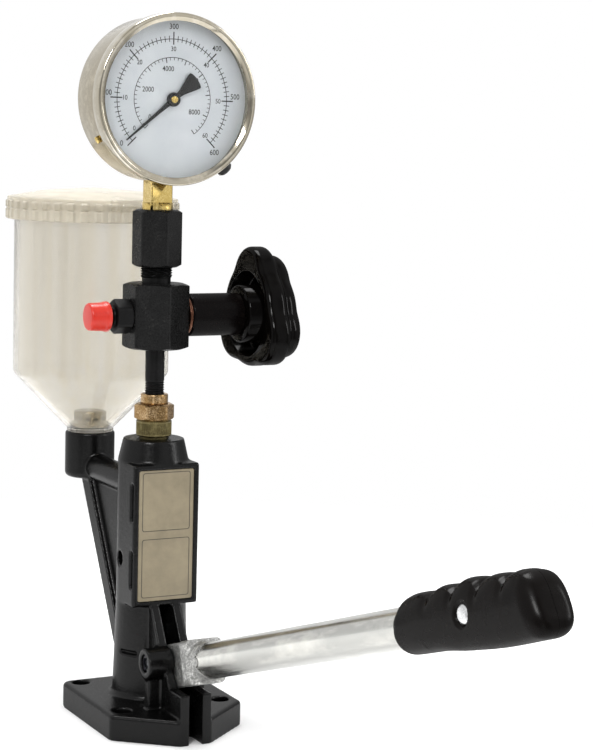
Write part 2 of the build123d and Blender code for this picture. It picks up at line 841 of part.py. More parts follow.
def gauge_case():
    back = case_back
    bend = case_back_radius
    shell = turned([(0, back), (case_radius - bend, back), (case_radius - bend / 3, back - bend / 3),
                    (case_radius, back - bend), (case_radius, -case_front),
                    (case_radius - case_wall, -case_front), (case_radius - case_wall, back - bend),
                    (case_radius - bend, back - case_wall), (0, back - case_wall)])
    shell = about_dial(shell)
    room = stem_square / 2 + loose_clearance
    shell -= block(-room, room, -room, room,
                   gauge_height - case_radius - overrun, gauge_height - case_radius / 2)
    for screw in range(bezel_screw_count):
        shell -= bezel_screw_blank(screw, bezel_screw_shank_radius + seat_clearance, overrun)
    hole = post(plug_neck_radius, case_radius - 2 * plug_neck_length, case_radius + overrun)
    return shell - plug_place(hole)


def gauge_bezel():
    lip = bezel_front - bezel_lip_thickness
    round_off = (bezel_radius - bezel_lip_radius) / 4
    inner = case_radius + seat_clearance
    ring = turned([(inner, -bezel_back), (bezel_radius, -bezel_back), (bezel_radius, -lip + round_off),
                   (bezel_radius - round_off, -bezel_front + round_off / 2),
                   (bezel_radius - 2 * round_off, -bezel_front), (bezel_lip_radius, -bezel_front + round_off),
                   (bezel_lip_radius, -lip), (inner - round_off, -lip),
                   (inner - round_off, -case_front - seat_clearance), (inner, -case_front - seat_clearance)])
    ring = about_dial(ring)
    for screw in range(bezel_screw_count):
        ring -= bezel_screw_blank(screw, bezel_screw_shank_radius + seat_clearance, overrun)
    return ring


def gauge_window():
    front = bezel_front - bezel_lip_thickness
    radius = case_radius - (bezel_radius - bezel_lip_radius) / 4
    return about_dial(post(radius, -front, -front + window_thickness))


def gauge_dial():
    dial = post(dial_radius, -dial_plane, -dial_plane + dial_thickness)
    return about_dial(dial - post(arbor_radius + 2 * running_clearance, -dial_plane - overrun, overrun))


def bezel_screw_blank(number, radius, extra):
    turn = bezel_screw_turn + 360 / bezel_screw_count * number
    shank = post(radius, case_radius - bezel_screw_depth, bezel_radius + extra)
    return Pos(0, -bezel_screw_plane, gauge_height) * Rot(0, 90 - turn, 0) * shank


def bezel_screws():
    screws = Part()
    for number in range(bezel_screw_count):
        turn = bezel_screw_turn + 360 / bezel_screw_count * number
        seat = case_radius + seat_clearance
        top = seat + bezel_screw_head_height
        edge = bezel_screw_head_height / 3
        low = case_radius - bezel_screw_depth
        screw = turned([(0, low), (bezel_screw_shank_radius, low),
                        (bezel_screw_shank_radius, seat), (bezel_screw_radius, seat),
                        (bezel_screw_radius, top - edge), (bezel_screw_radius - edge, top), (0, top)])
        screws += Pos(0, -bezel_screw_plane, gauge_height) * Rot(0, 90 - turn, 0) * screw
    return screws


def plug_place(piece):
    return Pos(0, -plug_plane, gauge_height) * Rot(0, 90 - plug_angle, 0) * piece


def blowout_plug():
    inner = case_radius - case_wall - plug_inner_length
    seat = case_radius + loose_clearance
    top = case_radius + plug_reach
    edge = plug_radius / 4
    neck = plug_neck_radius - seat_clearance
    return plug_place(turned([(0, inner), (neck, inner), (neck, seat), (plug_radius, seat),
                              (plug_radius, top - edge), (plug_radius - edge, top), (0, top)]))


def gauge_pointer():
    # seen from the front, a slim needle with a flared tail, on a round hub
    half_root = pointer_root_width / 2
    half_tip = pointer_tip_width / 2
    half_tail = pointer_tail_width / 2
    outline = Polyline((pointer_reach, half_tip), (0, half_root), (-pointer_hub_radius, half_root),
                       (-pointer_tail, half_tail), (-pointer_tail, -half_tail),
                       (-pointer_hub_radius, -half_root), (0, -half_root), (pointer_reach, -half_tip),
                       close=True)
    needle = extrude(make_face(outline), pointer_thickness)
    body = needle + post(pointer_hub_radius, 0, pointer_hub_height)
    body -= post(arbor_radius + seat_clearance, -overrun, pointer_hub_height + overrun)
    # Z of the flat shape runs to the front, and the angle is read from +X towards +Z
    turned_up = Rot(90, 0, 0) * Rot(0, 0, pointer_zero_angle) * body
    return Pos(0, -pointer_plane + pointer_thickness, gauge_height) * turned_up


def gauge_arbor():
    # carries the pointer in front and the pinion of the movement behind the dial
    front = -pointer_plane + pointer_thickness - pointer_hub_height
    gear_front = movement_front() + movement_gap / 4
    gear_back = gear_front + movement_gap / 2
    back = movement_back()
    arbor = post(arbor_radius, front, back)
    arbor += post(arbor_head_radius, front - arbor_radius / 2, front)
    pinion = gear_profile(pinion_teeth)
    arbor += Pos(0, 0, gear_front) * extrude(pinion, gear_back - gear_front)
    return about_dial(arbor)


def gear_profile(teeth):
    # straight sided teeth on a pitch circle, as a small clock gear has
    pitch_radius = teeth * gear_module / 2
    root = pitch_radius - gear_module
    tip = pitch_radius + gear_module
    points = []
    for number in range(teeth):
        for place, radius in zip(tooth_shares, (root, tip, tip, root)):
            angle = 2 * pi * (number + place) / teeth
            points.append((radius * cos(angle), radius * sin(angle)))
    return make_face(Polyline(*points, close=True))


def movement_front():
    return -dial_plane + dial_thickness + movement_plate_thickness


def movement_back():
    return movement_front() + movement_gap + movement_plate_thickness


def gauge_movement():
    # two brass plates on pillars, with the toothed sector between them
    front = movement_front()
    plates = Part()
    half_width = movement_plate_width / 2
    half_height = movement_plate_height / 2
    for plate_front in (front - movement_plate_thickness, front + movement_gap):
        plates += block(-half_width, half_width, -half_height, half_height,
                        plate_front, plate_front + movement_plate_thickness)
    pillar = movement_plate_thickness
    for x in (-half_width + 2 * pillar, half_width - 2 * pillar):
        plates += post(pillar, front - pillar / 2, front + movement_gap + pillar / 2,
                       x, half_height - 2 * pillar)
    plates -= post(arbor_radius + running_clearance, front - 2 * movement_plate_thickness,
                   front + movement_gap + 2 * movement_plate_thickness)
    # the back plate has a foot that lies against the front of the stem
    foot_end = bourdon_radius + bourdon_depth / 2 + movement_bridge_width
    bridge_half = movement_bridge_width / 2
    bridge = block(-bridge_half, bridge_half, half_height - overrun, foot_end,
                   front + movement_gap, movement_back())
    return about_dial(plates + bridge)


def bourdon_tube():
    # a flattened tube bent to a C, from the stem round to its closed tip
    half = bourdon_depth / 2
    section = Rectangle(bourdon_depth, bourdon_width)
    section = Pos(bourdon_radius, 0) * chamfer(section.vertices(), half * bourdon_side_share)
    ring = revolve(Plane.XZ * section, Axis.Z, bourdon_sweep)
    start = 270 - degrees(asin((stem_square / 2) / bourdon_radius))
    body = about_dial(Rot(0, 0, 360 - start) * ring)
    lift = stem_square / 4
    side = stem_square / 2
    foot_half = (bourdon_width - half) / 2
    low = gauge_height - bourdon_radius - half
    return body + block(-side, side, -foot_half, foot_half, low, low + lift)


# Lever: cast root, steel tube and moulded grip, built along its own axis and then tilted
def lever_place(piece):
    # local frame: +Y is the reach from the pivot, +Z is up, before the lever is tilted
    return Pos(*pivot_place) * Rot(-lever_angle, 0, 0) * Rot(0, 0, 180) * piece


def on_tube(piece):
    # the same frame, with its +Y on the axis of the tube, which runs below the pivot
    return lever_place(Pos(0, 0, -lever_drop) * piece)


def lever_root():
    half = tongue_thickness / 2
    nose = -pivot_reach
    middle = tongue_rise - lever_drop
    top = middle + tongue_height / 2
    low = middle - tongue_height / 2
    front = lever_head_start + lever_head_length / 2
    tongue = side_profile([(nose, tongue_nose_radius),
                           (nose + tongue_nose_radius + tongue_neck_gap, tongue_neck_half),
                           (-top, top), (front, top), (front, low), (low / 2, low),
                           (nose, -tongue_nose_radius)], half)
    tongue += rod_x(tongue_nose_radius, -half, half, nose, 0)
    tongue -= rod_x(pin_radius + running_clearance, -half - overrun, half + overrun, 0, 0)
    return lever_place(tongue + Pos(0, 0, middle) * lever_head()
                       - Pos(0, 0, -lever_drop) * rod_y(tube_radius + seat_clearance, tube_start,
                                                        front + lever_head_length, 0, 0))


def lever_head():
    # a block with rounded edges that takes the end of the tube, with bevelled shoulders to the tongue
    section = RectangleRounded(lever_head_width, tongue_height, lever_head_corner_radius)
    head = extrude(Plane.XZ.offset(-lever_head_start) * section, -lever_head_length)
    head = fillet(head.edges().group_by(Axis.Y)[-1], lever_head_front_edge)
    side = lever_head_width / 2
    end = lever_head_start + lever_head_length
    neck = side - lever_head_shoulder
    plan = make_face(Polyline((-neck, lever_head_start), (neck, lever_head_start),
                              (side, lever_head_start + lever_head_shoulder), (side, end), (-side, end),
                              (-side, lever_head_start + lever_head_shoulder), close=True))
    return head & extrude(plan, tongue_height, both=True)


def lever_tube():
    end = tube_start + tube_length
    tube = rod_y(tube_radius, tube_start, end, 0, 0)
    tube -= rod_y(tube_radius - tube_wall, tube_start - overrun, end + overrun, 0, 0)
    screw = rod_x(grip_screw_shank_radius + seat_clearance, -tube_radius - overrun, 0, grip_screw_place, 0)
    return on_tube(tube - screw)


def lever_grip():
    start = grip_start
    end = grip_start + grip_length
    half = grip_width / 2
    mouth = tube_radius + grip_mouth_wall
    belly = start + grip_length * grip_belly_place_share
    body = side_profile([(start, -mouth), (start, mouth), (start + grip_mouth_length, grip_valley_heights[0]),
                         (end, grip_valley_heights[1]), (end, -mouth), (belly, -grip_below)], half)
    body = fillet(body.edges().filter_by(Axis.X).group_by(Axis.Y)[-1], grip_end_radius)
    bump_radius = grip_bump_pitch / 2
    for number, height in enumerate(grip_bump_heights):
        place = start + grip_first_bump + grip_bump_pitch * number
        body += rod_x(bump_radius, -half, half, place, height - bump_radius)
    # the sides are rounded to an oval along the whole length, and the free end in plan
    high = max(grip_bump_heights)
    oval = RectangleRounded(grip_width, high + grip_below, half - grip_oval_inset)
    oval = Pos(0, (high - grip_below) / 2) * oval
    body &= extrude(Plane.XZ.offset(-start) * oval, -grip_length)
    plan = Pos(0, end - grip_length) * RectangleRounded(grip_width, 2 * grip_length, grip_end_radius)
    body &= extrude(plan, high + grip_below, both=True)
    tube_end = tube_start + tube_length
    body -= rod_y(tube_radius + seat_clearance, start - overrun, tube_end + loose_clearance, 0, 0)
    body -= rod_x(grip_sink_radius, -half - overrun, grip_sink_depth - half, grip_screw_place, 0)
    body -= rod_x(grip_screw_hole_radius, -half - overrun, 0, grip_screw_place, 0)
    return on_tube(body)


def grip_screw():
    # the head lies on the tube in the recess, and the shank passes through the tube wall
    seat = -tube_radius - seat_clearance
    head = rod_x(grip_screw_head_radius, seat - grip_screw_head_height, seat, grip_screw_place, 0)
    head = chamfer(head.edges().group_by(Axis.X)[0], grip_screw_head_height / 3)
    shank = rod_x(grip_screw_shank_radius, seat, seat + grip_screw_length / 2, grip_screw_place, 0)
    return on_tube(head + shank)


def pivot_pin():
    half = pivot_boss_reach - pin_head_inset
    pin = rod_x(pin_radius, -half, half, -pivot_reach, pivot_height)
    ends = pin.edges().filter_by(GeomType.CIRCLE)
    return chamfer(ends, pin_chamfer)


def pin_circlips():
    # one open ring in each boss, with an ear at both sides of its mouth
    outer = pin_radius + circlip_groove_depth - seat_clearance
    inner = outer - circlip_radial - circlip_groove_depth / 2
    middle = (outer + inner) / 2
    ring = Circle(outer) - Circle(inner)
    reach = 2 * outer
    half_mouth = radians(circlip_mouth_angle / 2)
    mouth = Polyline((0, 0), (reach * cos(half_mouth), reach * sin(half_mouth)),
                     (reach * cos(half_mouth), -reach * sin(half_mouth)), close=True)
    ring -= make_face(mouth)
    for turn in (1, -1):
        angle = turn * half_mouth * circlip_ear_share
        ring += Pos((middle - circlip_ear_radius / 2) * cos(angle),
                    (middle - circlip_ear_radius / 2) * sin(angle)) * Circle(circlip_ear_radius)
    clip = extrude(ring, circlip_thickness / 2, both=True)
    clips = Part()
    for side in (-1, 1):
        clips += Pos(side * circlip_middle, -pivot_reach, pivot_height) * Rot(0, 90, 0) * clip
    return clips


# Reservoir
def reservoir_cup():
    foot = socket_top - socket_bore_depth + neck_seal_thickness
    slope = (cup_radius - cup_neck_flange_radius) / cup_cone_rise
    inner_bottom = cup_bottom + cup_wall / 2
    inner_low = cup_neck_flange_radius - cup_wall + slope * cup_wall / 2
    inner_radius = cup_radius - cup_wall
    inner_cone_top = inner_bottom + (inner_radius - inner_low) / slope
    return Pos(0, reservoir_reach, 0) * turned([
        (cup_mouth_radius, foot), (cup_neck_radius, foot), (cup_neck_radius, socket_top),
        (cup_neck_flange_radius, socket_top), (cup_neck_flange_radius, cup_bottom),
        (cup_radius, cone_top), (cup_radius, cup_top), (inner_radius, cup_top),
        (inner_radius, inner_cone_top), (inner_low, inner_bottom), (cup_mouth_radius, inner_bottom)])


def neck_seal():
    low = socket_top - socket_bore_depth
    return Pos(0, reservoir_reach, 0) * turned([
        (cup_mouth_radius, low), (cup_neck_radius, low), (cup_neck_radius, low + neck_seal_thickness),
        (cup_mouth_radius, low + neck_seal_thickness)])


def reservoir_lid():
    inner = cup_radius + loose_clearance
    ceiling = lid_shoulder - lid_top_thickness
    groove_low = lid_bottom + (lid_skirt - lid_groove_width) / 2
    groove_high = groove_low + lid_groove_width
    groove_floor = lid_radius - lid_groove_depth
    edge = lid_top_thickness / 2
    dome_x = lid_radius * lid_dome_shares[0]
    dome_z = lid_dome_rise * lid_dome_shares[1]
    shell = turned([(inner, lid_bottom), (lid_radius, lid_bottom), (lid_radius, groove_low),
                    (groove_floor, groove_low), (groove_floor, groove_high), (lid_radius, groove_high),
                    (lid_radius, lid_shoulder - edge), (lid_radius - edge, lid_shoulder),
                    (dome_x, lid_shoulder + dome_z), (0, lid_shoulder + lid_dome_rise),
                    (0, ceiling + lid_dome_rise), (dome_x, ceiling + dome_z),
                    (inner - lid_top_thickness, ceiling), (inner, ceiling)])
    rib_half = lid_rib_width / 2
    ribs = Part()
    for number in range(lid_rib_count):
        rib = block(lid_radius - lid_rib_height / 2, lid_radius + lid_rib_height, -rib_half, rib_half,
                    lid_bottom, lid_shoulder - lid_top_thickness)
        ribs += Rot(0, 0, 360 / lid_rib_count * number) * rib
    ribs -= post(lid_radius + 2 * lid_rib_height, groove_low, groove_high)
    return Pos(0, reservoir_reach, 0) * (shell + ribs)


def reservoir_strainer():
    # a thimble of sheet metal with rows of holes, hung by its flange over the neck
    inner_bottom = cup_bottom + cup_wall / 2
    flange = min(strainer_flange_radius, cup_neck_flange_radius - cup_wall)
    top = inner_bottom + strainer_height
    wall = strainer_wall
    body = min(strainer_radius, cup_mouth_radius + wall)
    brim = inner_bottom + strainer_flange_height
    shape = turned([(body - wall, inner_bottom), (flange, inner_bottom), (flange, brim), (body, brim),
                    (body, top), (0, top), (0, top - wall), (body - wall, top - wall)])
    for number in range(strainer_hole_count):
        hole = rod_x(strainer_hole_radius, 0, body + overrun, 0,
                     inner_bottom + (strainer_height + strainer_flange_height) / 2)
        shape -= Rot(0, 0, 360 / strainer_hole_count * number) * hole
    return Pos(0, reservoir_reach, 0) * shape


def write_parts():
    os.makedirs("parts", exist_ok=True)
    makers = (body_casting, label_plate, tappet_guide_screw, plunger_tappet, pump_plunger, pump_barrel,
              return_spring, delivery_valve, delivery_spring, delivery_valve_holder, union_nut,
              lock_ring, riser_pipe, valve_block, outlet_fitting, outlet_cap, valve_seal, valve_bonnet,
              spindle_seal, valve_knob, knob_grub_screw, valve_spindle, gauge_adapter, gauge_coupling,
              gauge_seal, gauge_stem, gauge_case, gauge_bezel, gauge_window, gauge_dial, bezel_screws,
              blowout_plug, gauge_pointer, gauge_arbor, gauge_movement, bourdon_tube, lever_root,
              lever_tube, lever_grip, grip_screw, pivot_pin, pin_circlips, reservoir_cup, neck_seal,
              reservoir_lid, reservoir_strainer)
    for maker in makers:
        piece = maker()
        print(maker.__name__, round(piece.volume, 1))
        export_step(piece, f"parts/{maker.__name__}.step")


write_parts()
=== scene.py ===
import math
import bpy
import bmesh
import numpy as np
from mathutils import Matrix, Vector


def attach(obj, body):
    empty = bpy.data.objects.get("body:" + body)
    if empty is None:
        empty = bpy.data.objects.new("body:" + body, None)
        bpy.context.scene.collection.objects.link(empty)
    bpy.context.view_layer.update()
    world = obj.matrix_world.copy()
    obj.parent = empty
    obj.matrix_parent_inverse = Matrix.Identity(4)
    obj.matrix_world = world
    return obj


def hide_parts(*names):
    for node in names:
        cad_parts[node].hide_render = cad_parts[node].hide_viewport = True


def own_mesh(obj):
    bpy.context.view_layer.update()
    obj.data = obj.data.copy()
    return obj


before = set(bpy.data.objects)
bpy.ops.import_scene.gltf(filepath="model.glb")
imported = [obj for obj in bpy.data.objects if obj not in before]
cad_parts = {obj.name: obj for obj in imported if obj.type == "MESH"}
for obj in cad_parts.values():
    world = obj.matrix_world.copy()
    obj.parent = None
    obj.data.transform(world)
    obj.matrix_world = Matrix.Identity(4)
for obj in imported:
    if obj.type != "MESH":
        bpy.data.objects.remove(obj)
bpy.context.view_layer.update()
mm = 0.001
print("frame loaded:", len(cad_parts), "nodes")

# shared tools


def linear(hexColour):
    # sRGB hex to the linear values that the shaders work in
    channels = [int(hexColour.lstrip("#")[i:i + 2], 16) / 255 for i in (0, 2, 4)]
    return tuple(c / 12.92 if c <= 0.04045 else ((c + 0.055) / 1.055) ** 2.4 for c in channels) + (1.0,)


def addNode(tree, kind, inputs=None, stops=(), **settings):
    # one node with its settings and, on a ramp, its stops of place and colour; each input is set to a value
    # or linked from a socket, and a node given as an input stands for its first output
    node = tree.nodes.new(kind)
    for name, value in settings.items():
        setattr(node, name, value)
    if stops:
        elements = node.color_ramp.elements
        while len(elements) < len(stops):
            elements.new(0.5)
        for element, (place, colour) in zip(elements, stops):
            element.position = place
            element.color = linear(colour)
    for name, value in (inputs or {}).items():
        if isinstance(value, bpy.types.Node):
            value = value.outputs[0]
        if isinstance(value, bpy.types.NodeSocket):
            tree.links.new(value, node.inputs[name])
        else:
            node.inputs[name].default_value = value
    return node


# places: rows are where the local x, y and z of a turned piece point in the frame
upright = np.array([[1, 0, 0], [0, 1, 0], [0, 0, 1]], float)
toValve = np.array([[0, 1, 0], [0, 0, 1], [1, 0, 0]], float)
toOutlet = np.array([[0, -1, 0], [0, 0, 1], [-1, 0, 0]], float)
toFront = np.array([[1, 0, 0], [0, 0, 1], [0, -1, 0]], float)
leverAngle = math.radians(17.8)
leverOrigin = (0, -39.07, 40.47)  # where the axis of the tube passes under the pivot
alongLever = np.array([[1, 0, 0], [0, math.sin(leverAngle), math.cos(leverAngle)],
                       [0, -math.cos(leverAngle), math.sin(leverAngle)]], float)


def finishMesh(mesh, smoothAngle=35, recalc=True):
    # doubles merged, faces turned outwards, and only edges over the smooth angle left sharp
    shape = bmesh.new()
    shape.from_mesh(mesh)
    bmesh.ops.remove_doubles(shape, verts=shape.verts, dist=2e-6)
    bmesh.ops.dissolve_degenerate(shape, edges=shape.edges, dist=1e-7)
    if recalc:
        bmesh.ops.recalc_face_normals(shape, faces=shape.faces)
    shape.to_mesh(mesh)
    shape.free()
    mesh.shade_smooth()
    mesh.set_sharp_from_angle(angle=math.radians(smoothAngle))
    mesh.update()


def newPiece(name, mesh, material, body, nodes=()):
    # a finished piece: its material, the imported nodes that it stands for, and its body
    piece = bpy.data.objects.new(name, mesh)
    bpy.context.scene.collection.objects.link(piece)
    mesh.materials.append(material)
    if nodes:
        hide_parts(*nodes)
    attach(piece, body)
    return piece


def meshFromGrid(name, grid, closeAcross=True, closeAlong=False, axes=upright, origin=(0, 0, 0),
                 smoothAngle=35):
    # grid: rows x columns x 3 in mm, neighbours joined by quads, then carried to its place
    rows, columns = grid.shape[:2]
    index = np.arange(rows * columns).reshape(rows, columns)
    nextRow = np.roll(index, -1, 0) if closeAlong else index[1:]
    thisRow = index if closeAlong else index[:-1]
    if closeAcross:
        quads = np.stack([thisRow, np.roll(thisRow, -1, 1), np.roll(nextRow, -1, 1), nextRow], -1)
    else:
        quads = np.stack([thisRow[:, :-1], thisRow[:, 1:], nextRow[:, 1:], nextRow[:, :-1]], -1)
    quads = quads.reshape(-1, 4)
    points = (grid.reshape(-1, 3) @ axes + np.array(origin, float)) * mm
    mesh = bpy.data.meshes.new(name)
    mesh.vertices.add(len(points))
    mesh.vertices.foreach_set("co", points.astype(np.float32).ravel())
    mesh.loops.add(quads.size)
    mesh.loops.foreach_set("vertex_index", quads.astype(np.int32).ravel())
    mesh.polygons.add(len(quads))
    mesh.polygons.foreach_set("loop_start", np.arange(0, quads.size, 4, dtype=np.int32))
    mesh.update(calc_edges=True)
    finishMesh(mesh, smoothAngle)
    return mesh


def joinMeshes(name, meshes, smoothAngle=35):
    # the meshes as one, in the order given
    joined = bmesh.new()
    for mesh in meshes:
        joined.from_mesh(mesh)
        bpy.data.meshes.remove(mesh)
    result = bpy.data.meshes.new(name)
    joined.to_mesh(result)
    joined.free()
    result.shade_smooth()
    result.set_sharp_from_angle(angle=math.radians(smoothAngle))
    return result


def rounded(corners, steps=5, closed=False):
    # corners: radius, height and rounding; each rounding is an arc tangent to both neighbours
    count = len(corners)
    outline = []
    for i, (r, z, size) in enumerate(corners):
        here = np.array([r, z], float)
        if size <= 0 or (not closed and i in (0, count - 1)):
            outline.append(here)
            continue
        back = np.array(corners[i - 1][:2], float) - here
        on = np.array(corners[(i + 1) % count][:2], float) - here
        backLength, onLength = np.linalg.norm(back), np.linalg.norm(on)
        back, on = back / backLength, on / onLength
        half = math.acos(np.clip(back @ on, -1, 1)) / 2
        run = min(size / math.tan(half), 0.49 * backLength, 0.49 * onLength)
        size = run * math.tan(half)
        centre = here + (back + on) / np.linalg.norm(back + on) * size / math.sin(half)
        start, end = here + back * run - centre, here + on * run - centre
        first, last = math.atan2(start[1], start[0]), math.atan2(end[1], end[0])
        sweep = (last - first + math.pi) % (2 * math.pi) - math.pi
        for t in np.linspace(0, 1, steps):
            angle = first + sweep * t
            outline.append(centre + size * np.array([math.cos(angle), math.sin(angle)]))
    return np.array(outline)


def turned(name, corners, segments=96, closed=True, axes=upright, origin=(0, 0, 0), radius=None, steps=5):
    # a point is (r cos a, r sin a, z); radius, if given, changes r for each radius, angle and height
    outline = rounded(corners, steps, closed)
    r = np.repeat(outline[:, :1], segments, 1)
    z = np.repeat(outline[:, 1:2], segments, 1)
    a = np.repeat(np.linspace(0, 2 * math.pi, segments, endpoint=False)[None, :], len(outline), 0)
    if radius is not None:
        r = radius(r, a, z)
    grid = np.stack([r * np.cos(a), r * np.sin(a), z], -1)
    return meshFromGrid(name, grid, True, closed, axes, origin)


def hexReach(angle, across, edge):
    # distance to the sides of a hexagon with two faces square to angle 0, its corners eased
    folded = (angle + math.pi / 6) % (math.pi / 3) - math.pi / 6
    flat = across / 2 / np.cos(folded)
    return np.minimum(flat, across / math.sqrt(3) - edge)


def hexBar(name, across, low, high, hole, turn=0.0, edge=0.35, chamferAngle=30, inset=0.6, perSide=16,
           **place):
    # a hexagon whose ends are cut by cones: rows run from the hole out over the cone and down the flats
    slope = math.tan(math.radians(chamferAngle))
    angles = np.concatenate([np.linspace(0, 1, perSide, endpoint=False) + i for i in range(6)]) * math.pi / 3
    reach = hexReach(angles, across, edge)
    start = across / 2 - inset
    drop = (reach - start) * slope
    rows = []

    def ring(radius, height):
        radius = np.broadcast_to(radius, angles.shape)
        height = np.broadcast_to(height, angles.shape)
        rows.append(np.stack([radius * np.cos(angles + turn), radius * np.sin(angles + turn), height], -1))

    ring(hole, high)
    ring(start, high)
    for t in (0.25, 0.5, 0.75, 1):
        ring(start + (reach - start) * t, high - drop * t)
    for t in (1, 0.75, 0.5, 0.25, 0):
        ring(start + (reach - start) * t, low + drop * t)
    ring(hole, low)
    return meshFromGrid(name, np.array(rows), True, True, smoothAngle=25, **place)


def threadRadius(pitch, depth, low, high, runout=1.0):
    # a V groove that climbs one pitch a turn and fades out at both ends
    def cut(r, a, z):
        phase = (z / pitch - a / (2 * math.pi)) % 1
        groove = 1 - np.abs(2 * phase - 1)
        fade = np.clip(np.minimum(z - low, high - z) / (runout * pitch), 0, 1)
        return np.where(r > 0, r - depth * np.clip(groove * 1.3 - 0.15, 0, 1) * fade, r)
    return cut


def threadRows(radius, low, high, pitch, perPitch=9):
    # enough rows on a plain cylinder for the groove to be cut into
    count = max(int((high - low) / pitch * perPitch), 2)
    return [(radius, z, 0) for z in np.linspace(low, high, count)]


def copyNode(name, node, material, body, smoothAngle=30):
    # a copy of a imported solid, its loose triangles merged, that can take a better surface
    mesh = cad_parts[node].data.copy()
    mesh.name = name
    mesh.materials.clear()
    if mesh.has_custom_normals:
        mesh.normals_split_custom_set([(0, 0, 0)] * len(mesh.loops))
    finishMesh(mesh, smoothAngle, recalc=False)
    return newPiece(name, mesh, material, body, [node])


def applyModifiers(piece):
    # the mesh as its modifiers leave it takes the place of the piece's own
    graph = bpy.context.evaluated_depsgraph_get()
    done = bpy.data.meshes.new_from_object(piece.evaluated_get(graph))
    piece.modifiers.clear()
    piece.data = done
    return done


# materials: every pattern is noise on Object coordinates whose coarsest cells have a size in mm


def newMaterial(name):
    # an empty material, and the Object coordinates that its patterns read
    material = bpy.data.materials.new(name)
    material.use_nodes = True
    tree = material.node_tree
    tree.nodes.clear()
    return material, tree, addNode(tree, "ShaderNodeTexCoord").outputs["Object"]


def finishMaterial(tree, inputs, film=0):
    # with a film, all of the gloss comes from a thin coat over the colour, and film is its weight
    if film:
        inputs = {**inputs, "Specular IOR Level": 0.0, "Coat Weight": film,
                  "Coat Roughness": inputs["Roughness"], "Coat Normal": inputs["Normal"]}
    shader = addNode(tree, "ShaderNodeBsdfPrincipled", inputs)
    addNode(tree, "ShaderNodeOutputMaterial", {"Surface": shader})


def makeEnamel(name, look):
    # stoving enamel on a sand casting: the grain of the mould shows through, and dust greys it in patches
    material, tree, place = newMaterial(name)
    sizes = ((look["grainMm"] * 4, 5, 0.6), (look["grainMm"], 6, 0.65), (look["dustMm"], 3, 0.5))
    coarse, fine, dust = (addNode(tree, "ShaderNodeTexNoise", {
        "Vector": place, "Scale": 1 / (cell * mm), "Detail": detail, "Roughness": rough})
        for cell, detail, rough in sizes)
    colour = addNode(tree, "ShaderNodeValToRGB", {"Fac": dust}, [(0.3, look["dark"]), (0.72, look["light"])])
    gloss = addNode(tree, "ShaderNodeMapRange", {"Value": fine, "From Min": 0.3, "From Max": 0.7,
                                                 "To Min": look["smooth"], "To Max": look["rough"]})
    lumps = addNode(tree, "ShaderNodeBump", {"Height": coarse, "Distance": look["coarseMm"] * mm})
    grain = addNode(tree, "ShaderNodeBump", {"Height": fine, "Distance": look["fineMm"] * mm,
                                             "Normal": lumps})
    finishMaterial(tree, {"Base Color": colour, "Roughness": gloss, "Normal": grain, "IOR": 1.5},
                   look["film"])
    return material


def makeSteel(name, look):
    # metal, bare or with a chemical finish: turning or drawing marks, made wider than the real ones so
    # that they show, and cloudy changes in the finish
    material, tree, place = newMaterial(name)
    even = (1, 1, 1)
    drawn = look.get("cloudStretch", even)
    sizes = ((look["markMm"], 3, 0.6, look.get("stretch", even), 0.0),
             (look.get("cloudMm", 9), 5, 0.6, drawn, 0.6), (look.get("speckMm", 1.4), 4, 0.7, drawn, 0.0))
    marks, clouds, specks = (addNode(tree, "ShaderNodeTexNoise", {
        "Vector": addNode(tree, "ShaderNodeMapping", {"Vector": place, "Scale": stretch}),
        "Scale": 1 / (cell * mm), "Detail": detail, "Roughness": rough, "Distortion": distortion})
        for cell, detail, rough, stretch, distortion in sizes)
    # the colour follows clouds times specks and a quarter of the specks
    quarter = addNode(tree, "ShaderNodeMath", {0: specks, 1: 0.25}, operation="MULTIPLY")
    mixed = addNode(tree, "ShaderNodeMath", {0: clouds, 1: specks, 2: quarter}, operation="MULTIPLY_ADD")
    colour = addNode(tree, "ShaderNodeValToRGB", {"Fac": mixed}, [
        (0.34, look["dark"]), (0.52, look["middle"]), (0.68, look["light"])])
    gloss = addNode(tree, "ShaderNodeMapRange", {"Value": marks, "From Min": 0.3, "From Max": 0.7,
                                                 "To Min": look["smooth"], "To Max": look["rough"]})
    relief = addNode(tree, "ShaderNodeBump", {"Height": marks, "Distance": look.get("bumpMm", 0.02) * mm})
    finishMaterial(tree, {"Base Color": colour, "Roughness": gloss, "Normal": relief,
                          "Metallic": look.get("metallic", 1.0)}, look.get("film"))
    return material


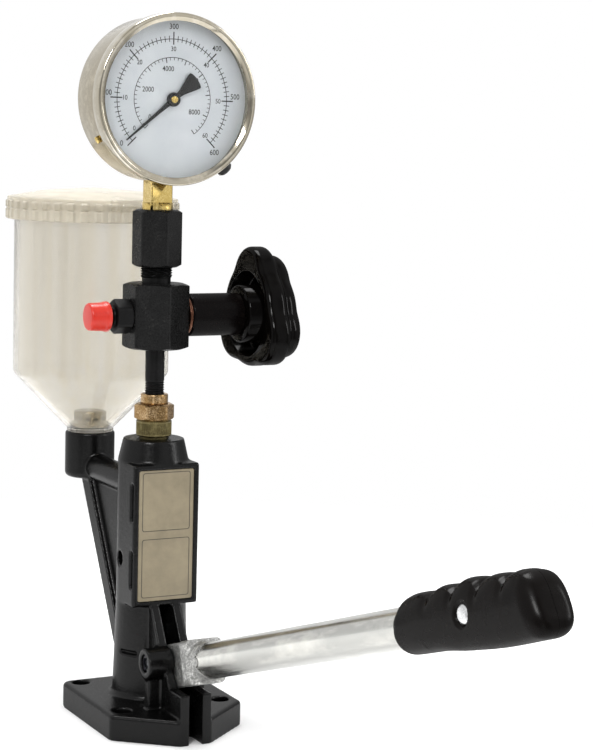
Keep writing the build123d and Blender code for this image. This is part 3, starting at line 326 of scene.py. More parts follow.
def makePlastic(name, look):
    # moulded plastic or rubber: an even colour, a soft orange peel, and a few handling marks in the gloss
    material, tree, place = newMaterial(name)
    sizes = ((look.get("peelMm", 3), 3, 0.5), (look.get("fineMm", 0.5), 4, 0.6), (14, 4, 0.6))
    peel, fine, patches = (addNode(tree, "ShaderNodeTexNoise", {
        "Vector": place, "Scale": 1 / (cell * mm), "Detail": detail, "Roughness": rough})
        for cell, detail, rough in sizes)
    colour = addNode(tree, "ShaderNodeValToRGB", {"Fac": patches}, [
        (0.3, look["dark"]), (0.7, look["light"])])
    gloss = addNode(tree, "ShaderNodeMapRange", {"Value": patches, "From Min": 0.3, "From Max": 0.7,
                                                 "To Min": look["smooth"], "To Max": look["rough"]})
    waves = addNode(tree, "ShaderNodeBump", {"Height": peel, "Distance": look.get("peelDepthMm", 0.03) * mm})
    relief = addNode(tree, "ShaderNodeBump", {"Height": fine, "Distance": look.get("fineDepthMm", 0.006) * mm,
                                              "Normal": waves})
    if "seamMm" in look:  # the line that the two halves of the mould leave in the plane X = 0
        across = addNode(tree, "ShaderNodeSeparateXYZ", {"Vector": place})
        away = addNode(tree, "ShaderNodeMath", {0: across}, operation="ABSOLUTE")
        ridge = addNode(tree, "ShaderNodeMapRange", {
            "Value": away, "From Min": 0.0, "From Max": look["seamMm"] * mm, "To Min": 1.0, "To Max": 0.0})
        relief = addNode(tree, "ShaderNodeBump", {"Height": ridge, "Distance": 0.6 * mm, "Normal": relief})
    finishMaterial(tree, {"Base Color": colour, "Roughness": gloss, "Normal": relief, "IOR": 1.5},
                   look.get("film"))
    return material


def makeClear(name, look):
    # clear moulded plastic, yellowed a little by oil, with a haze that scatters some light
    material, tree, place = newMaterial(name)
    drawn = addNode(tree, "ShaderNodeMapping", {"Vector": place, "Scale": (1, 1, look["streak"])})
    haze = addNode(tree, "ShaderNodeTexNoise", {"Vector": drawn, "Scale": 1 / (look["streakMm"] * mm),
                                                "Detail": 3, "Roughness": 0.6})
    fine = addNode(tree, "ShaderNodeTexNoise", {"Vector": place, "Scale": 1 / (2.5 * mm),
                                                "Detail": 3, "Roughness": 0.6})
    colour = addNode(tree, "ShaderNodeValToRGB", {"Fac": haze}, [(0.25, look["dark"]), (0.75, look["light"])])
    gloss = addNode(tree, "ShaderNodeMapRange", {"Value": fine, "From Min": 0.3, "From Max": 0.7,
                                                 "To Min": look["smooth"], "To Max": look["rough"]})
    relief = addNode(tree, "ShaderNodeBump", {"Height": fine, "Distance": look["bumpMm"] * mm})
    surface = addNode(tree, "ShaderNodeBsdfPrincipled", {
        "Base Color": colour, "Transmission Weight": 1.0, "IOR": look["ior"], "Roughness": gloss,
        "Normal": relief})
    if look["haze"] > 0:
        milk = addNode(tree, "ShaderNodeBsdfPrincipled", {
            "Base Color": linear(look["milk"]), "Roughness": 0.4})
        share = addNode(tree, "ShaderNodeMapRange", {
            "Value": haze, "From Min": 0.3, "From Max": 0.7, "To Min": look["haze"] * 0.4,
            "To Max": look["haze"] * 1.6})
        surface = addNode(tree, "ShaderNodeMixShader", {0: share, 1: surface, 2: milk})
    addNode(tree, "ShaderNodeOutputMaterial", {"Surface": surface})
    return material


castEnamel = makeEnamel("castAluminiumBlackEnamel", {  # deep black, glossy over a fine grain
    "dark": "#050505", "light": "#0b0b0b", "grainMm": 0.9, "coarseMm": 0.1, "fineMm": 0.05,
    "dustMm": 18, "smooth": 0.14, "rough": 0.3, "film": 0.42})
labelFoil = makePlastic("printedPolyesterPlate", {  # tan, even and half matt
    "dark": "#786e59", "light": "#8c8169", "smooth": 0.32, "rough": 0.45, "peelMm": 30, "fineMm": 0.6})
labelLine = makePlastic("printedLineInk", {  # dark and matt
    "dark": "#221f1c", "light": "#2e2a26", "smooth": 0.4, "rough": 0.5, "peelMm": 30})
blackOxide = makeSteel("blackOxidedSteel", {  # near black with grey clouds
    "dark": "#101010", "middle": "#1b1b1b", "light": "#4c4a46", "smooth": 0.2, "rough": 0.4, "markMm": 1.2,
    "cloudMm": 9, "speckMm": 1.0, "metallic": 0.0, "film": 0.4, "bumpMm": 0.04})
blackBarrel = makeSteel("blackOxidedTurnedSteel", {  # warm black with a dim sheen
    "dark": "#070505", "middle": "#0c0908", "light": "#16110f", "smooth": 0.16, "rough": 0.3, "markMm": 0.8,
    "metallic": 0.0, "film": 0.13})
blackThread = makeSteel("blackOxidedThread", {  # dull black
    "dark": "#090909", "middle": "#101011", "light": "#242322", "smooth": 0.26, "rough": 0.42, "markMm": 0.8,
    "metallic": 0.0, "film": 0.35})
bronzedSteel = makeSteel("yellowPassivatedSteel", {  # pale gold, cloudy
    "dark": "#98794f", "middle": "#cdb089", "light": "#efdfc2", "smooth": 0.2, "rough": 0.36, "markMm": 0.9,
    "cloudMm": 6, "speckMm": 0.9})
knurledSteel = makeSteel("yellowPassivatedKnurl", {  # dull olive gold
    "dark": "#5f573b", "middle": "#877d58", "light": "#aaa07a", "smooth": 0.28, "rough": 0.45, "markMm": 0.7,
    "cloudMm": 5, "speckMm": 0.8, "bumpMm": 0.08})
zincTube = makeSteel("zincPlatedTube", {  # bright grey, its marks drawn along it
    "dark": "#b4b4b0", "middle": "#cfcec8", "light": "#e6e4dc", "smooth": 0.14, "rough": 0.26, "markMm": 1.6,
    "stretch": (1, 0.05, 0.05), "cloudMm": 9, "cloudStretch": (1, 0.1, 0.1), "speckMm": 4, "bumpMm": 0.01})
castZinc = makeSteel("sandCastZincPlatedIron", {  # pale grey and rough
    "dark": "#8a8a88", "middle": "#d2d2cf", "light": "#f0f0ed", "smooth": 0.34, "rough": 0.6, "markMm": 1.0,
    "cloudMm": 6, "speckMm": 1.2, "bumpMm": 0.3})
brightZinc = makeSteel("brightZincScrew", {  # light and even
    "dark": "#c9cacb", "middle": "#dcdddd", "light": "#ececec", "smooth": 0.22, "rough": 0.34, "markMm": 0.8})
plainSteel = makeSteel("machinedSteel", {  # mid grey
    "dark": "#7d7f82", "middle": "#9b9da0", "light": "#b9babc", "smooth": 0.2, "rough": 0.36, "markMm": 0.6})
springSteel = makeSteel("oilTemperedSpringSteel", {  # dark blue grey
    "dark": "#26262a", "middle": "#3a3a3e", "light": "#55555a", "smooth": 0.25, "rough": 0.4, "markMm": 0.7})
brassTurned = makeSteel("turnedBrass", {  # bright yellow
    "dark": "#cfb46c", "middle": "#e7ce88", "light": "#f5e6b0", "smooth": 0.18, "rough": 0.33, "markMm": 0.7,
    "cloudMm": 6, "bumpMm": 0.02})
copperSoft = makeSteel("annealedCopper", {  # brown and dull
    "dark": "#52362a", "middle": "#785748", "light": "#9a7a69", "smooth": 0.3, "rough": 0.48, "markMm": 0.8})
bronzeTube = makeSteel("phosphorBronze", {  # brown gold
    "dark": "#7c5430", "middle": "#9c6f42", "light": "#b98a58", "smooth": 0.25, "rough": 0.4, "markMm": 0.8})
stainlessPolished = makeSteel("polishedStainlessSteel", {  # a warm mirror
    "dark": "#b3ac9b", "middle": "#c6c0b2", "light": "#d9d5ca", "smooth": 0.05, "rough": 0.12, "markMm": 2.5,
    "cloudMm": 30, "speckMm": 8, "bumpMm": 0.003})
stainlessPressed = makeSteel("pressedStainlessSteel", {  # warm, softer than a mirror
    "dark": "#9c937e", "middle": "#b1a893", "light": "#c4bca8", "smooth": 0.1, "rough": 0.2, "markMm": 1.6,
    "stretch": (1, 0.1, 1), "cloudMm": 20, "speckMm": 5, "bumpMm": 0.006})
knobPlastic = makePlastic("mouldedPhenolicGloss", {  # wet black gloss
    "dark": "#030202", "light": "#060504", "smooth": 0.07, "rough": 0.15, "film": 0.16, "peelMm": 9,
    "peelDepthMm": 0.02, "fineDepthMm": 0.001})
gripPlastic = makePlastic("dippedVinylGrip", {  # black, a broad soft gloss and a mould seam
    "dark": "#060403", "light": "#0a0706", "smooth": 0.18, "rough": 0.34, "film": 0.2, "peelMm": 4,
    "peelDepthMm": 0.05, "fineMm": 0.7, "fineDepthMm": 0.02, "seamMm": 0.25})
sealRubber = makePlastic("nitrileRubber", {  # matt black
    "dark": "#0d0d0d", "light": "#171717", "smooth": 0.45, "rough": 0.6, "peelMm": 2})
redCap = makePlastic("redPolyethyleneCap", {  # bright red, waxy
    "dark": "#b81c10", "light": "#cc2e1c", "smooth": 0.25, "rough": 0.38, "peelMm": 3})
dialPaint = makePlastic("whiteDialEnamel", {  # cool off-white, matt
    "dark": "#cbd0d5", "light": "#d6dade", "smooth": 0.35, "rough": 0.45, "peelMm": 20, "peelDepthMm": 0.01})
dialInk = makePlastic("dialPrintingInk", {  # near black, matt
    "dark": "#0e0e10", "light": "#18181b", "smooth": 0.4, "rough": 0.5, "peelMm": 20, "peelDepthMm": 0.01})
pointerPaint = makePlastic("blackPointerLacquer", {  # black, half gloss
    "dark": "#08080a", "light": "#101012", "smooth": 0.25, "rough": 0.4, "peelMm": 6, "peelDepthMm": 0.01})
clearCup = makeClear("clearAcrylicCup", {  # nearly clear, with upright streaks of haze
    "dark": "#e9e4d8", "light": "#fdfcf9", "milk": "#e5dfd2", "haze": 0.11, "ior": 1.35, "smooth": 0.02,
    "rough": 0.05, "bumpMm": 0.02, "streakMm": 9, "streak": 0.03})
clearLid = makeClear("mouldedStyreneLid", {  # milky and yellowed
    "dark": "#e6e0d3", "light": "#f5f2ea", "milk": "#c8c0ad", "haze": 0.4, "ior": 1.4, "smooth": 0.03,
    "rough": 0.08, "bumpMm": 0.01, "streakMm": 70, "streak": 1})
windowGlass = makeClear("coatedGlassWindow", {  # clear, with hardly a reflection
    "dark": "#fbfcfb", "light": "#ffffff", "milk": "#ffffff", "haze": 0.0, "ior": 1.2, "smooth": 0.0,
    "rough": 0.01, "bumpMm": 0.0005, "streakMm": 30, "streak": 1})
print("materials made")

# stand casting

castingLook = {"voxelMm": 0.75, "smoothing": 6, "smoothFactor": 0.45, "triangles": 170000}


def makeCasting():
    # a remesh melts the inner corners, smoothing eases them as in a casting, and a decimate keeps it light
    piece = copyNode("standCasting", "body_casting", castEnamel, "stand")
    remesh = piece.modifiers.new("voxels", "REMESH")
    remesh.mode = "VOXEL"
    remesh.voxel_size = castingLook["voxelMm"] * mm
    remesh.use_smooth_shade = True
    relax = piece.modifiers.new("relax", "SMOOTH")
    relax.factor = castingLook["smoothFactor"]
    relax.iterations = castingLook["smoothing"]
    mesh = applyModifiers(piece)
    lighter = piece.modifiers.new("lighter", "DECIMATE")
    lighter.ratio = min(1.0, castingLook["triangles"] / (2 * len(mesh.polygons)))
    mesh = applyModifiers(piece)
    mesh.name = "standCasting"
    mesh.materials.clear()
    mesh.materials.append(castEnamel)
    mesh.shade_smooth()
    return piece


casting = makeCasting()
print("casting:", len(casting.data.polygons), "faces")

labelLook = {"width": 36.5, "height": 81.0, "front": -21.0, "middle": 118.25, "thick": 0.95,
             "corner": 1.5, "edge": 0.25}
frameLook = {"half": 15.8, "line": 0.4, "corner": 1.6, "insideCorner": 1.3, "inkLow": 0.01, "inkHigh": 0.04,
             "panels": [(121.1, 157.3), (80.0, 116.3)]}  # lower and upper edge of each printed frame


def roundedRectangle(halfWidth, halfHeight, corner, perCorner=8):
    # points of a rectangle with round corners, anticlockwise from the right
    centres = [(halfWidth - corner, halfHeight - corner), (corner - halfWidth, halfHeight - corner),
               (corner - halfWidth, corner - halfHeight), (halfWidth - corner, corner - halfHeight)]
    points = []
    for i, (x, y) in enumerate(centres):
        angles = np.linspace(0, math.pi / 2, perCorner) + i * math.pi / 2
        points.append(np.stack([x + corner * np.cos(angles), y + corner * np.sin(angles)], -1))
    return np.concatenate(points)


def raisedRows(outlines, heights):
    # one row of x, y, z for each outline, at its height over the plate
    return np.array([np.column_stack([outline, np.full(len(outline), height)])
                     for outline, height in zip(outlines, heights)])


def makeLabel():
    # the plate: rings from the middle of its back over its bevelled edge to the middle of its front
    look = labelLook
    halfWidth, halfHeight, edge = look["width"] / 2, look["height"] / 2, look["edge"]
    outer = roundedRectangle(halfWidth, halfHeight, look["corner"])
    inner = roundedRectangle(halfWidth - edge, halfHeight - edge, look["corner"] - edge / 2)
    rows = raisedRows([0 * outer, outer, outer, inner, 0 * inner],
                      [-look["thick"], -look["thick"], -edge, 0, 0])
    plate = meshFromGrid("labelPlate", rows, True, False, toFront, (0, look["front"], look["middle"]), 30)
    newPiece("labelPlate", plate, labelFoil, "stand", ["label_plate"])


def makeLabelFrames():
    # each frame is a thin line of ink between two outlines of as many points
    look = frameLook
    line, inkLow, inkHigh = look["line"], look["inkLow"], look["inkHigh"]
    for number, (low, high) in enumerate(look["panels"]):
        tall, middle = (high - low) / 2, (high + low) / 2
        outer = roundedRectangle(look["half"], tall, look["corner"])
        inner = roundedRectangle(look["half"] - line, tall - line, look["insideCorner"])
        rows = raisedRows([outer, outer, inner, inner], [inkLow, inkHigh, inkHigh, inkLow])
        mesh = meshFromGrid(f"labelFrame{number}", rows, True, True, toFront,
                            (0, labelLook["front"], middle), 30)
        newPiece(f"labelFrame{number}", mesh, labelLine, "stand")


makeLabel()
makeLabelFrames()
print("label plate made")

# fittings above the column

stack = {"holderLow": 152.0, "holderNeck": 176.9, "nutSeat": 180.0, "holderTop": 187.0, "unionTop": 197.0,
         "ringTop": 203.0, "blockLow": 231.0, "valveZ": 251.0, "blockTop": 271.0, "couplingLow": 281.0,
         "couplingTop": 315.8, "gaugeZ": 382.0}  # heights over the table
holderLook = {"passage": 2.55, "thread": 8.9, "collar": 10.9, "bevel": 0.6, "bevelHigh": 0.8, "nutBore": 6.0,
              "springBore": 4.5, "springLow": 154.5, "coneLow": 152.4, "knurls": 60, "knurlDepth": 0.35}
unionLook = {"across": 22, "hole": 6.0, "turn": 15, "inset": 0.7}
ringLook = {"bore": 6.0, "radius": 8.45, "lowEdge": 0.3, "topEdge": 0.8}
riserLook = {"bore": 2.0, "radius": 5.9, "low": 180, "high": 238, "pitch": 1.5, "depth": 0.55,
             "threaded": 9, "runout": 0.8}


def knurl(count, depth, inside, low, high, fadeLong=0.8):
    # beyond the inside radius, grooves of depth |sin| of half the count times the angle, faded at both ends
    def cut(r, a, z):
        fade = np.clip(np.minimum(z - low, high - z) / fadeLong, 0, 1)
        return np.where(r > inside, r - depth * fade * np.abs(np.sin(a * count / 2)), r)
    return cut


def makeHolder():
    # a turned stub and collar, with a knurl cut into the rows of the collar
    look, low, neck, top = holderLook, stack["holderLow"], stack["holderNeck"], stack["holderTop"]
    collar, bevel, rise, seat = look["collar"], look["bevel"], look["bevelHigh"], stack["nutSeat"]
    rows = [(look["passage"], low, 0), (look["thread"], low, 0), (look["thread"], neck, 0),
            (collar - bevel, neck, 0), (collar, neck + rise, 0)]
    rows += [(collar, z, 0) for z in np.linspace(neck + 1.5 * rise, top - 1.5 * rise, 14)]
    rows += [(collar, top - rise, 0), (collar - bevel, top, 0), (look["nutBore"], top, 0),
             (look["nutBore"], seat, 0), (look["springBore"], seat, 0),
             (look["springBore"], look["springLow"], 0), (look["passage"], look["coneLow"], 0)]
    cut = knurl(look["knurls"], look["knurlDepth"], collar - 1.5 * bevel, neck + rise, top - rise)
    holder = turned("deliveryValveHolder", rows, 240, radius=cut)
    newPiece("deliveryValveHolder", holder, knurledSteel, "stand", ["delivery_valve_holder"])


def makeUnion():
    # a hexagon nut and the turned ring on it
    look = unionLook
    nut = hexBar("unionNut", look["across"], stack["holderTop"], stack["unionTop"], look["hole"],
                 turn=math.radians(look["turn"]), inset=look["inset"])
    newPiece("unionNut", nut, bronzedSteel, "stand", ["union_nut"])
    look, low, top = ringLook, stack["unionTop"], stack["ringTop"]
    ring = turned("lockRing", [(look["bore"], low, 0), (look["radius"], low, look["lowEdge"]),
                               (look["radius"], top, look["topEdge"]), (look["bore"], top, 0)])
    newPiece("lockRing", ring, bronzedSteel, "stand", ["lock_ring"])


def makeRiser():
    # a turned pipe with a thread cut into its lower rows
    look = riserLook
    low, high = stack["ringTop"] - 0.5, stack["blockLow"] + 1  # what shows, and a little of what doesn't
    rows = [(look["bore"], look["low"], 0), (look["radius"], look["low"], 0)]
    rows += threadRows(look["radius"], low, high, look["pitch"])
    rows += [(look["radius"], look["high"], 0), (look["bore"], look["high"], 0)]
    cut = threadRadius(look["pitch"], look["depth"], low, low + look["threaded"], look["runout"])
    riser = turned("riserPipe", rows, 72, radius=cut)
    newPiece("riserPipe", riser, blackThread, "stand", ["riser_pipe"])


makeHolder()
makeUnion()
makeRiser()

blockLook = {"across": 36, "hole": 6.6, "inset": 1.2, "edge": 0.25, "chamferAngle": 20}
adapterLook = {"bore": 1.5, "plug": 6.5, "plugDeep": 9, "neck": 8.8, "neckHigh": 3.4, "thread": 9.7,
               "top": 298, "pitch": 1.5, "depth": 0.75, "runout": 0.7}
sleeveLook = {"across": 27, "hole": 9.9, "inset": 1.0}


def makeValveBlock():
    # a bored hexagon whose ends are cut by cones
    look = blockLook
    block = hexBar("valveBlock", look["across"], stack["blockLow"], stack["blockTop"], look["hole"],
                   inset=look["inset"], perSide=24, edge=look["edge"], chamferAngle=look["chamferAngle"])
    newPiece("valveBlock", block, blackOxide, "stand", ["valve_block"])


def makeAdapter():
    # a turned stud with a thread, and the hexagon sleeve over it
    look, top = adapterLook, stack["blockTop"]
    bore, plug, neck, thread, end = look["bore"], look["plug"], look["neck"], look["thread"], look["top"]
    low, high = top + look["neckHigh"], stack["couplingLow"] + 1
    rows = [(bore, top - look["plugDeep"], 0), (plug, top - look["plugDeep"], 0), (plug, top, 0),
            (neck, top, 0), (neck, low, 0)]
    rows += threadRows(thread, low + 0.5, high, look["pitch"]) + [(thread, end, 0.5), (bore, end + 0.4, 0)]
    cut = threadRadius(look["pitch"], look["depth"], low, high + 2, look["runout"])
    stud = turned("gaugeAdapter", rows, 96, radius=cut)
    newPiece("gaugeAdapter", stud, blackThread, "stand", ["gauge_adapter"])
    sleeve = hexBar("gaugeCoupling", sleeveLook["across"], stack["couplingLow"], stack["couplingTop"],
                    sleeveLook["hole"], inset=sleeveLook["inset"], perSide=20)
    newPiece("gaugeCoupling", sleeve, blackOxide, "stand", ["gauge_coupling"])


makeValveBlock()
makeAdapter()
copyNode("gaugeStem", "gauge_stem", brassTurned, "stand", 25)
print("fittings made")

# outlet and red cap, in mm out from the face of the block

outletLook = {"face": 18.0, "across": 19, "nutLow": 0.02, "nutHigh": 10.5, "bore": 2.0, "inset": 0.6,
              "neck": 6.0, "neckLow": 9, "root": 6.4, "thread": 7.0, "threadLow": 11.0, "threadHigh": 23.5,
              "end": 24.5, "mouth": 3.5, "mouthLow": 21.5, "pitch": 1.5, "depth": 0.7, "runout": 0.6}
capLook = {"low": 13.8, "end": 26.8, "bore": 7.3, "lip": 9.2, "lipHigh": 2.2, "waist": 8.65, "waistHigh": 3.6,
           "crown": 8.3, "thick": 2}


def makeOutlet():
    # a hexagon and a turned stub with a thread, in one piece
    look, origin = outletLook, (-outletLook["face"], 0, stack["valveZ"])
    nut = hexBar("outletNut", look["across"], look["nutLow"], look["nutHigh"], look["bore"], axes=toOutlet,
                 origin=origin, inset=look["inset"])
    rows = [(look["bore"], look["neckLow"], 0), (look["neck"], look["neckLow"], 0),
            (look["root"], look["nutHigh"], 0)]
    rows += threadRows(look["thread"], look["threadLow"], look["threadHigh"], look["pitch"])
    rows += [(look["root"], look["end"], 0), (look["mouth"], look["end"], 0),
             (look["bore"], look["mouthLow"], 0)]
    cut = threadRadius(look["pitch"], look["depth"], look["threadLow"] - 0.2, look["threadHigh"] + 0.5,
                       look["runout"])
    stub = turned("outletStub", rows, 72, axes=toOutlet, origin=origin, radius=cut)
    mesh = joinMeshes("outletFitting", [nut, stub])
    newPiece("outletFitting", mesh, blackThread, "stand", ["outlet_fitting"])


def makeOutletCap():
    # a turned cup with a lip round its mouth, closed at its far end
    look, low, end = capLook, capLook["low"], capLook["end"]
    rows = [(look["bore"], low, 0.2), (look["lip"], low, 0.6), (look["lip"], low + look["lipHigh"], 0.8),
            (look["waist"], low + look["waistHigh"], 1.0), (look["crown"], end, 1.3), (0, end, 0),
            (0, end - look["thick"], 0), (look["bore"], end - look["thick"], 0.4)]
    cap = turned("outletCap", rows, 96, axes=toOutlet, origin=(-outletLook["face"], 0, stack["valveZ"]))
    newPiece("outletCap", cap, redCap, "cap", ["outlet_cap"])


makeOutlet()
makeOutletCap()

# shut off valve and knob, the valve in mm out from the face of the block

sealLook = {"bore": 8.1, "radius": 12.4, "low": 0.02, "high": 2.18, "edge": 0.7}
bonnetLook = {"face": 18.0, "bore": 5, "plug": 8, "plugLow": -6.8, "seat": 2.2, "radius": 13.2, "bevel": 0.6,
              "bevelHigh": 3.0, "length": 35.0, "spindle": 4.1, "coneLow": 16, "coneHigh": 22}
knobLook = {"back": 61.0, "skirt": 14.0, "deep": 26.4, "lobe": 42.0, "lobeRadius": 17.5, "waist": 33.0,
            "melt": 0.35, "crown": 0.87, "hollow": 26.5, "hollowDeep": 13.0, "hub": 18.0, "hubStart": -5.5,
            "bore": 4.1, "boreEnd": 12.9, "edge": 4.5, "round": 8.0, "dome": 1.8, "backEdge": 4.0,
            "stepRows": ((-1.0, 0.05), (-0.4, 0.4), (-0.1, 1.0), (0.0, 1.8)),  # inset and height on the skirt
            "domeShares": (0.85, 0.7, 0.55, 0.4, 0.2, 0.0)}


def makeValve():
    # a washer and a long barrel, both turned; in the barrel a cone leads from the bore to the spindle
    look, origin = sealLook, (bonnetLook["face"], 0, stack["valveZ"])
    bore, outer, low, high = look["bore"], look["radius"], look["low"], look["high"]
    washer = turned("valveSeal", [(bore, low, 0), (outer, low, look["edge"]), (outer, high, look["edge"]),
                                  (bore, high, 0)], axes=toValve, origin=origin)
    newPiece("valveSeal", washer, copperSoft, "stand", ["valve_seal"])
    look, seat, end = bonnetLook, bonnetLook["seat"], bonnetLook["seat"] + bonnetLook["length"]
    rows = [(look["bore"], look["plugLow"], 0), (look["plug"], look["plugLow"], 0), (look["plug"], seat, 0),
            (look["radius"] - look["bevel"], seat, 0.3), (look["radius"], look["bevelHigh"], 0.5),
            (look["radius"], end, 0.8), (look["spindle"], end, 0), (look["spindle"], look["coneHigh"], 0),
            (look["bore"], look["coneLow"], 0)]
    barrel = turned("valveBonnet", rows, 128, axes=toValve, origin=origin)
    newPiece("valveBonnet", barrel, blackBarrel, "stand", ["valve_bonnet"])


makeValve()


def knobReach(angle):
    # three round lobes and a round waist melted by a soft maximum, the log of the sum of their powers of e,
    # then shifted so that the tips of the lobes keep their radius
    look, centre = knobLook, knobLook["lobe"] - knobLook["lobeRadius"]

    def reach(folded):
        inside = np.clip(look["lobeRadius"] ** 2 - (centre * np.sin(folded)) ** 2, 0, None)
        lobe = centre * np.cos(folded) + np.sqrt(inside)
        return np.log(np.exp(look["melt"] * lobe) + np.exp(look["melt"] * look["waist"])) / look["melt"]

    folded = (angle - math.pi / 2 + math.pi / 3) % (2 * math.pi / 3) - math.pi / 3
    return reach(folded) - reach(0.0) + look["lobe"]


def makeKnob():
    # rings from the end of the bore out through the hollow back, round the lobes, over the step and the dome
    look = knobLook
    angles = np.linspace(0, 2 * math.pi, 240, endpoint=False)
    outer = knobReach(angles)
    crown = outer * look["crown"]
    rows = []

    def ring(reach, height):
        reach = np.broadcast_to(reach, angles.shape)
        height = np.full(len(angles), height)
        rows.append(np.stack([reach * np.cos(angles), reach * np.sin(angles), height], -1))

    bore, hub, start, hollow, deep = (look[k] for k in ("bore", "hub", "hubStart", "hollow", "hollowDeep"))
    for reach, height in ((0, look["boreEnd"]), (bore, look["boreEnd"]), (bore, start), (hub - 1, start),
                          (hub, start + 1), (hub, deep - 1.5), (hub + 1.5, deep), (hollow - 1.5, deep),
                          (hollow, deep - 1.5), (hollow, 0.8), (hollow + 0.8, 0)):
        ring(reach, height)
    edge, over, skirt = look["edge"], look["round"], look["skirt"]
    shoulder = look["deep"] - look["dome"]
    for t in np.linspace(0, math.pi / 2, 6):  # quarter round at the back
        ring(outer - look["backEdge"] * (1 - math.sin(t)), look["backEdge"] * (1 - math.cos(t)))
    for t in np.linspace(0, math.pi / 2, 8):  # quarter round at the front of the skirt
        ring(outer - edge * (1 - math.cos(t)), skirt - edge + edge * math.sin(t))
    for inset, height in look["stepRows"]:
        ring(crown - inset, skirt + height)
    for t in np.linspace(0, math.pi / 2, 14):  # quarter round of the crown
        ring(crown - over * (1 - math.cos(t)), shoulder - over + over * math.sin(t))
    for share in look["domeShares"]:
        ring((crown - over) * share, shoulder + (1 - share ** 2) * look["dome"])
    mesh = meshFromGrid("valveKnob", np.array(rows), True, False, toValve,
                        (look["back"], 0, stack["valveZ"]), 50)
    newPiece("valveKnob", mesh, knobPlastic, "knob", ["valve_knob"])


makeKnob()
print("valve and knob made")

# pressure gauge, in mm out from the axis of the stack

gaugeLook = {"bezel": 51.0, "bezelBack": 19.0, "bezelFront": 28.6, "opening": 46.2, "seat": 47.6,
             "seatBack": 20.05, "case": 49.3, "caseBack": -10.0, "caseFront": 20, "wall": 1.2,
             "window": 47.4, "windowBack": 24.8, "windowFront": 26.75, "dial": 47.9, "dialFlat": 46.6,
             "dialBack": 18.1, "dialFront": 19.1, "rim": 2.4, "lipDrop": 1.6, "lip": 1.8, "caseEdge": 3.8}
gaugePlace = {"axes": toFront, "origin": (0, 0, stack["gaugeZ"])}


def makeGaugeShell():
    # bezel, case, window and dial: four outlines turned about the axis of the gauge
    look = gaugeLook
    outer, back, front, inner = look["bezel"], look["bezelBack"], look["bezelFront"], look["opening"]
    over = look["case"] + 0.05
    bezel = turned("gaugeBezel", [
        (over, back, 0), (outer, back, 0.4), (outer, front, 1.8), (outer - look["rim"], front, 1.2),
        (inner, front - look["lipDrop"], 0.3), (inner, front - look["lip"], 0),
        (look["seat"], front - look["lip"], 0), (look["seat"], look["seatBack"], 0),
        (over, look["seatBack"], 0)], 192, **gaugePlace)
    newPiece("gaugeBezel", bezel, stainlessPolished, "stand", ["gauge_bezel"])
    outer, back, front, wall = look["case"], look["caseBack"], look["caseFront"], look["wall"]
    case = turned("gaugeCase", [
        (0, back, 0), (outer - look["caseEdge"], back, 0), (outer, back, 3.2), (outer, front, 0),
        (outer - wall, front, 0), (outer - wall, back + wall, 0.5), (0, back + wall, 0)], 192, **gaugePlace)
    newPiece("gaugeCase", case, stainlessPressed, "stand", ["gauge_case"])
    outer, back, front = look["window"], look["windowBack"], look["windowFront"]
    window = turned("gaugeWindow", [(0, back, 0), (outer, back, 0), (outer, front, 0.2), (0, front, 0)], 128,
                    **gaugePlace)
    newPiece("gaugeWindow", window, windowGlass, "stand", ["gauge_window"])
    outer, flat, back, front = look["dial"], look["dialFlat"], look["dialBack"], look["dialFront"]
    dial = turned("gaugeDial", [(0, back, 0), (flat, back, 0), (outer, front - 0.1, 0.3), (outer, front, 0),
                                (flat, front, 0), (0, front, 0)], 128, **gaugePlace)
    newPiece("gaugeDial", dial, dialPaint, "stand", ["gauge_dial"])


makeGaugeShell()

dialLook = {"zero": 224.4, "perUnit": 0.4488, "paint": 19.1, "ink": 0.04, "figures": 19.15, "outer": 35.5,
            "inner": 24.7, "outerLine": 0.42, "innerLine": 0.38, "fullScale": 600, "innerEnd": 620.5,
            "innerUnit": 14.5038, "innerMarks": 46, "narrow": 0.88, "heavy": 0.035, "figuresOut": 4.6,
            "figureSize": 4.6, "insideReach": (30.6, 29.6), "insideSize": 4.0, "innerReach": (16.6, 18.2),
            "innerSize": 4.3,
            "outerLong": (4.2, 3.3, 0.72), "outerShort": (1.9, 1.7, 0.44),  # out, back and width of a mark
            "innerLong": (3.0, 0.55), "innerShort": (1.7, 0.36)}  # length and width of a mark


def dialAngle(value):
    # 44.88 degrees for each hundred, clockwise from the zero mark
    return math.radians(dialLook["zero"] - value * dialLook["perUnit"])


def flatShape(points, low, high):
    # a closed outline on the dial raised to a thin plate, in dial coordinates
    points = np.asarray(points, float)
    centre = np.repeat(points.mean(0)[None], len(points), 0)
    grid = raisedRows([centre, points, points, centre], [low, low, high, high])
    return meshFromGrid("shape", grid, True, False, smoothAngle=20, **gaugePlace)


def dialMark(angle, inner, outer, width):
    # a thin bar of ink that points away from the middle
    direction = np.array([math.cos(angle), math.sin(angle)])
    side = np.array([-direction[1], direction[0]]) * width / 2
    return flatShape([direction * inner - side, direction * outer - side, direction * outer + side,
                      direction * inner + side], dialLook["paint"], dialLook["paint"] + dialLook["ink"])


def dialArc(radius, width, start, end, count=160):
    # a closed ribbon along an arc, as a grid of four rows round its section
    angles = np.linspace(start, end, count)
    low, high = dialLook["paint"], dialLook["paint"] + dialLook["ink"]
    inner, outer = radius - width / 2, radius + width / 2
    rows = [np.stack([r * np.cos(angles), r * np.sin(angles), np.full(count, z)], -1)
            for r, z in ((inner, low), (outer, low), (outer, high), (inner, high))]
    return meshFromGrid("arc", np.array(rows), False, True, smoothAngle=20, **gaugePlace)


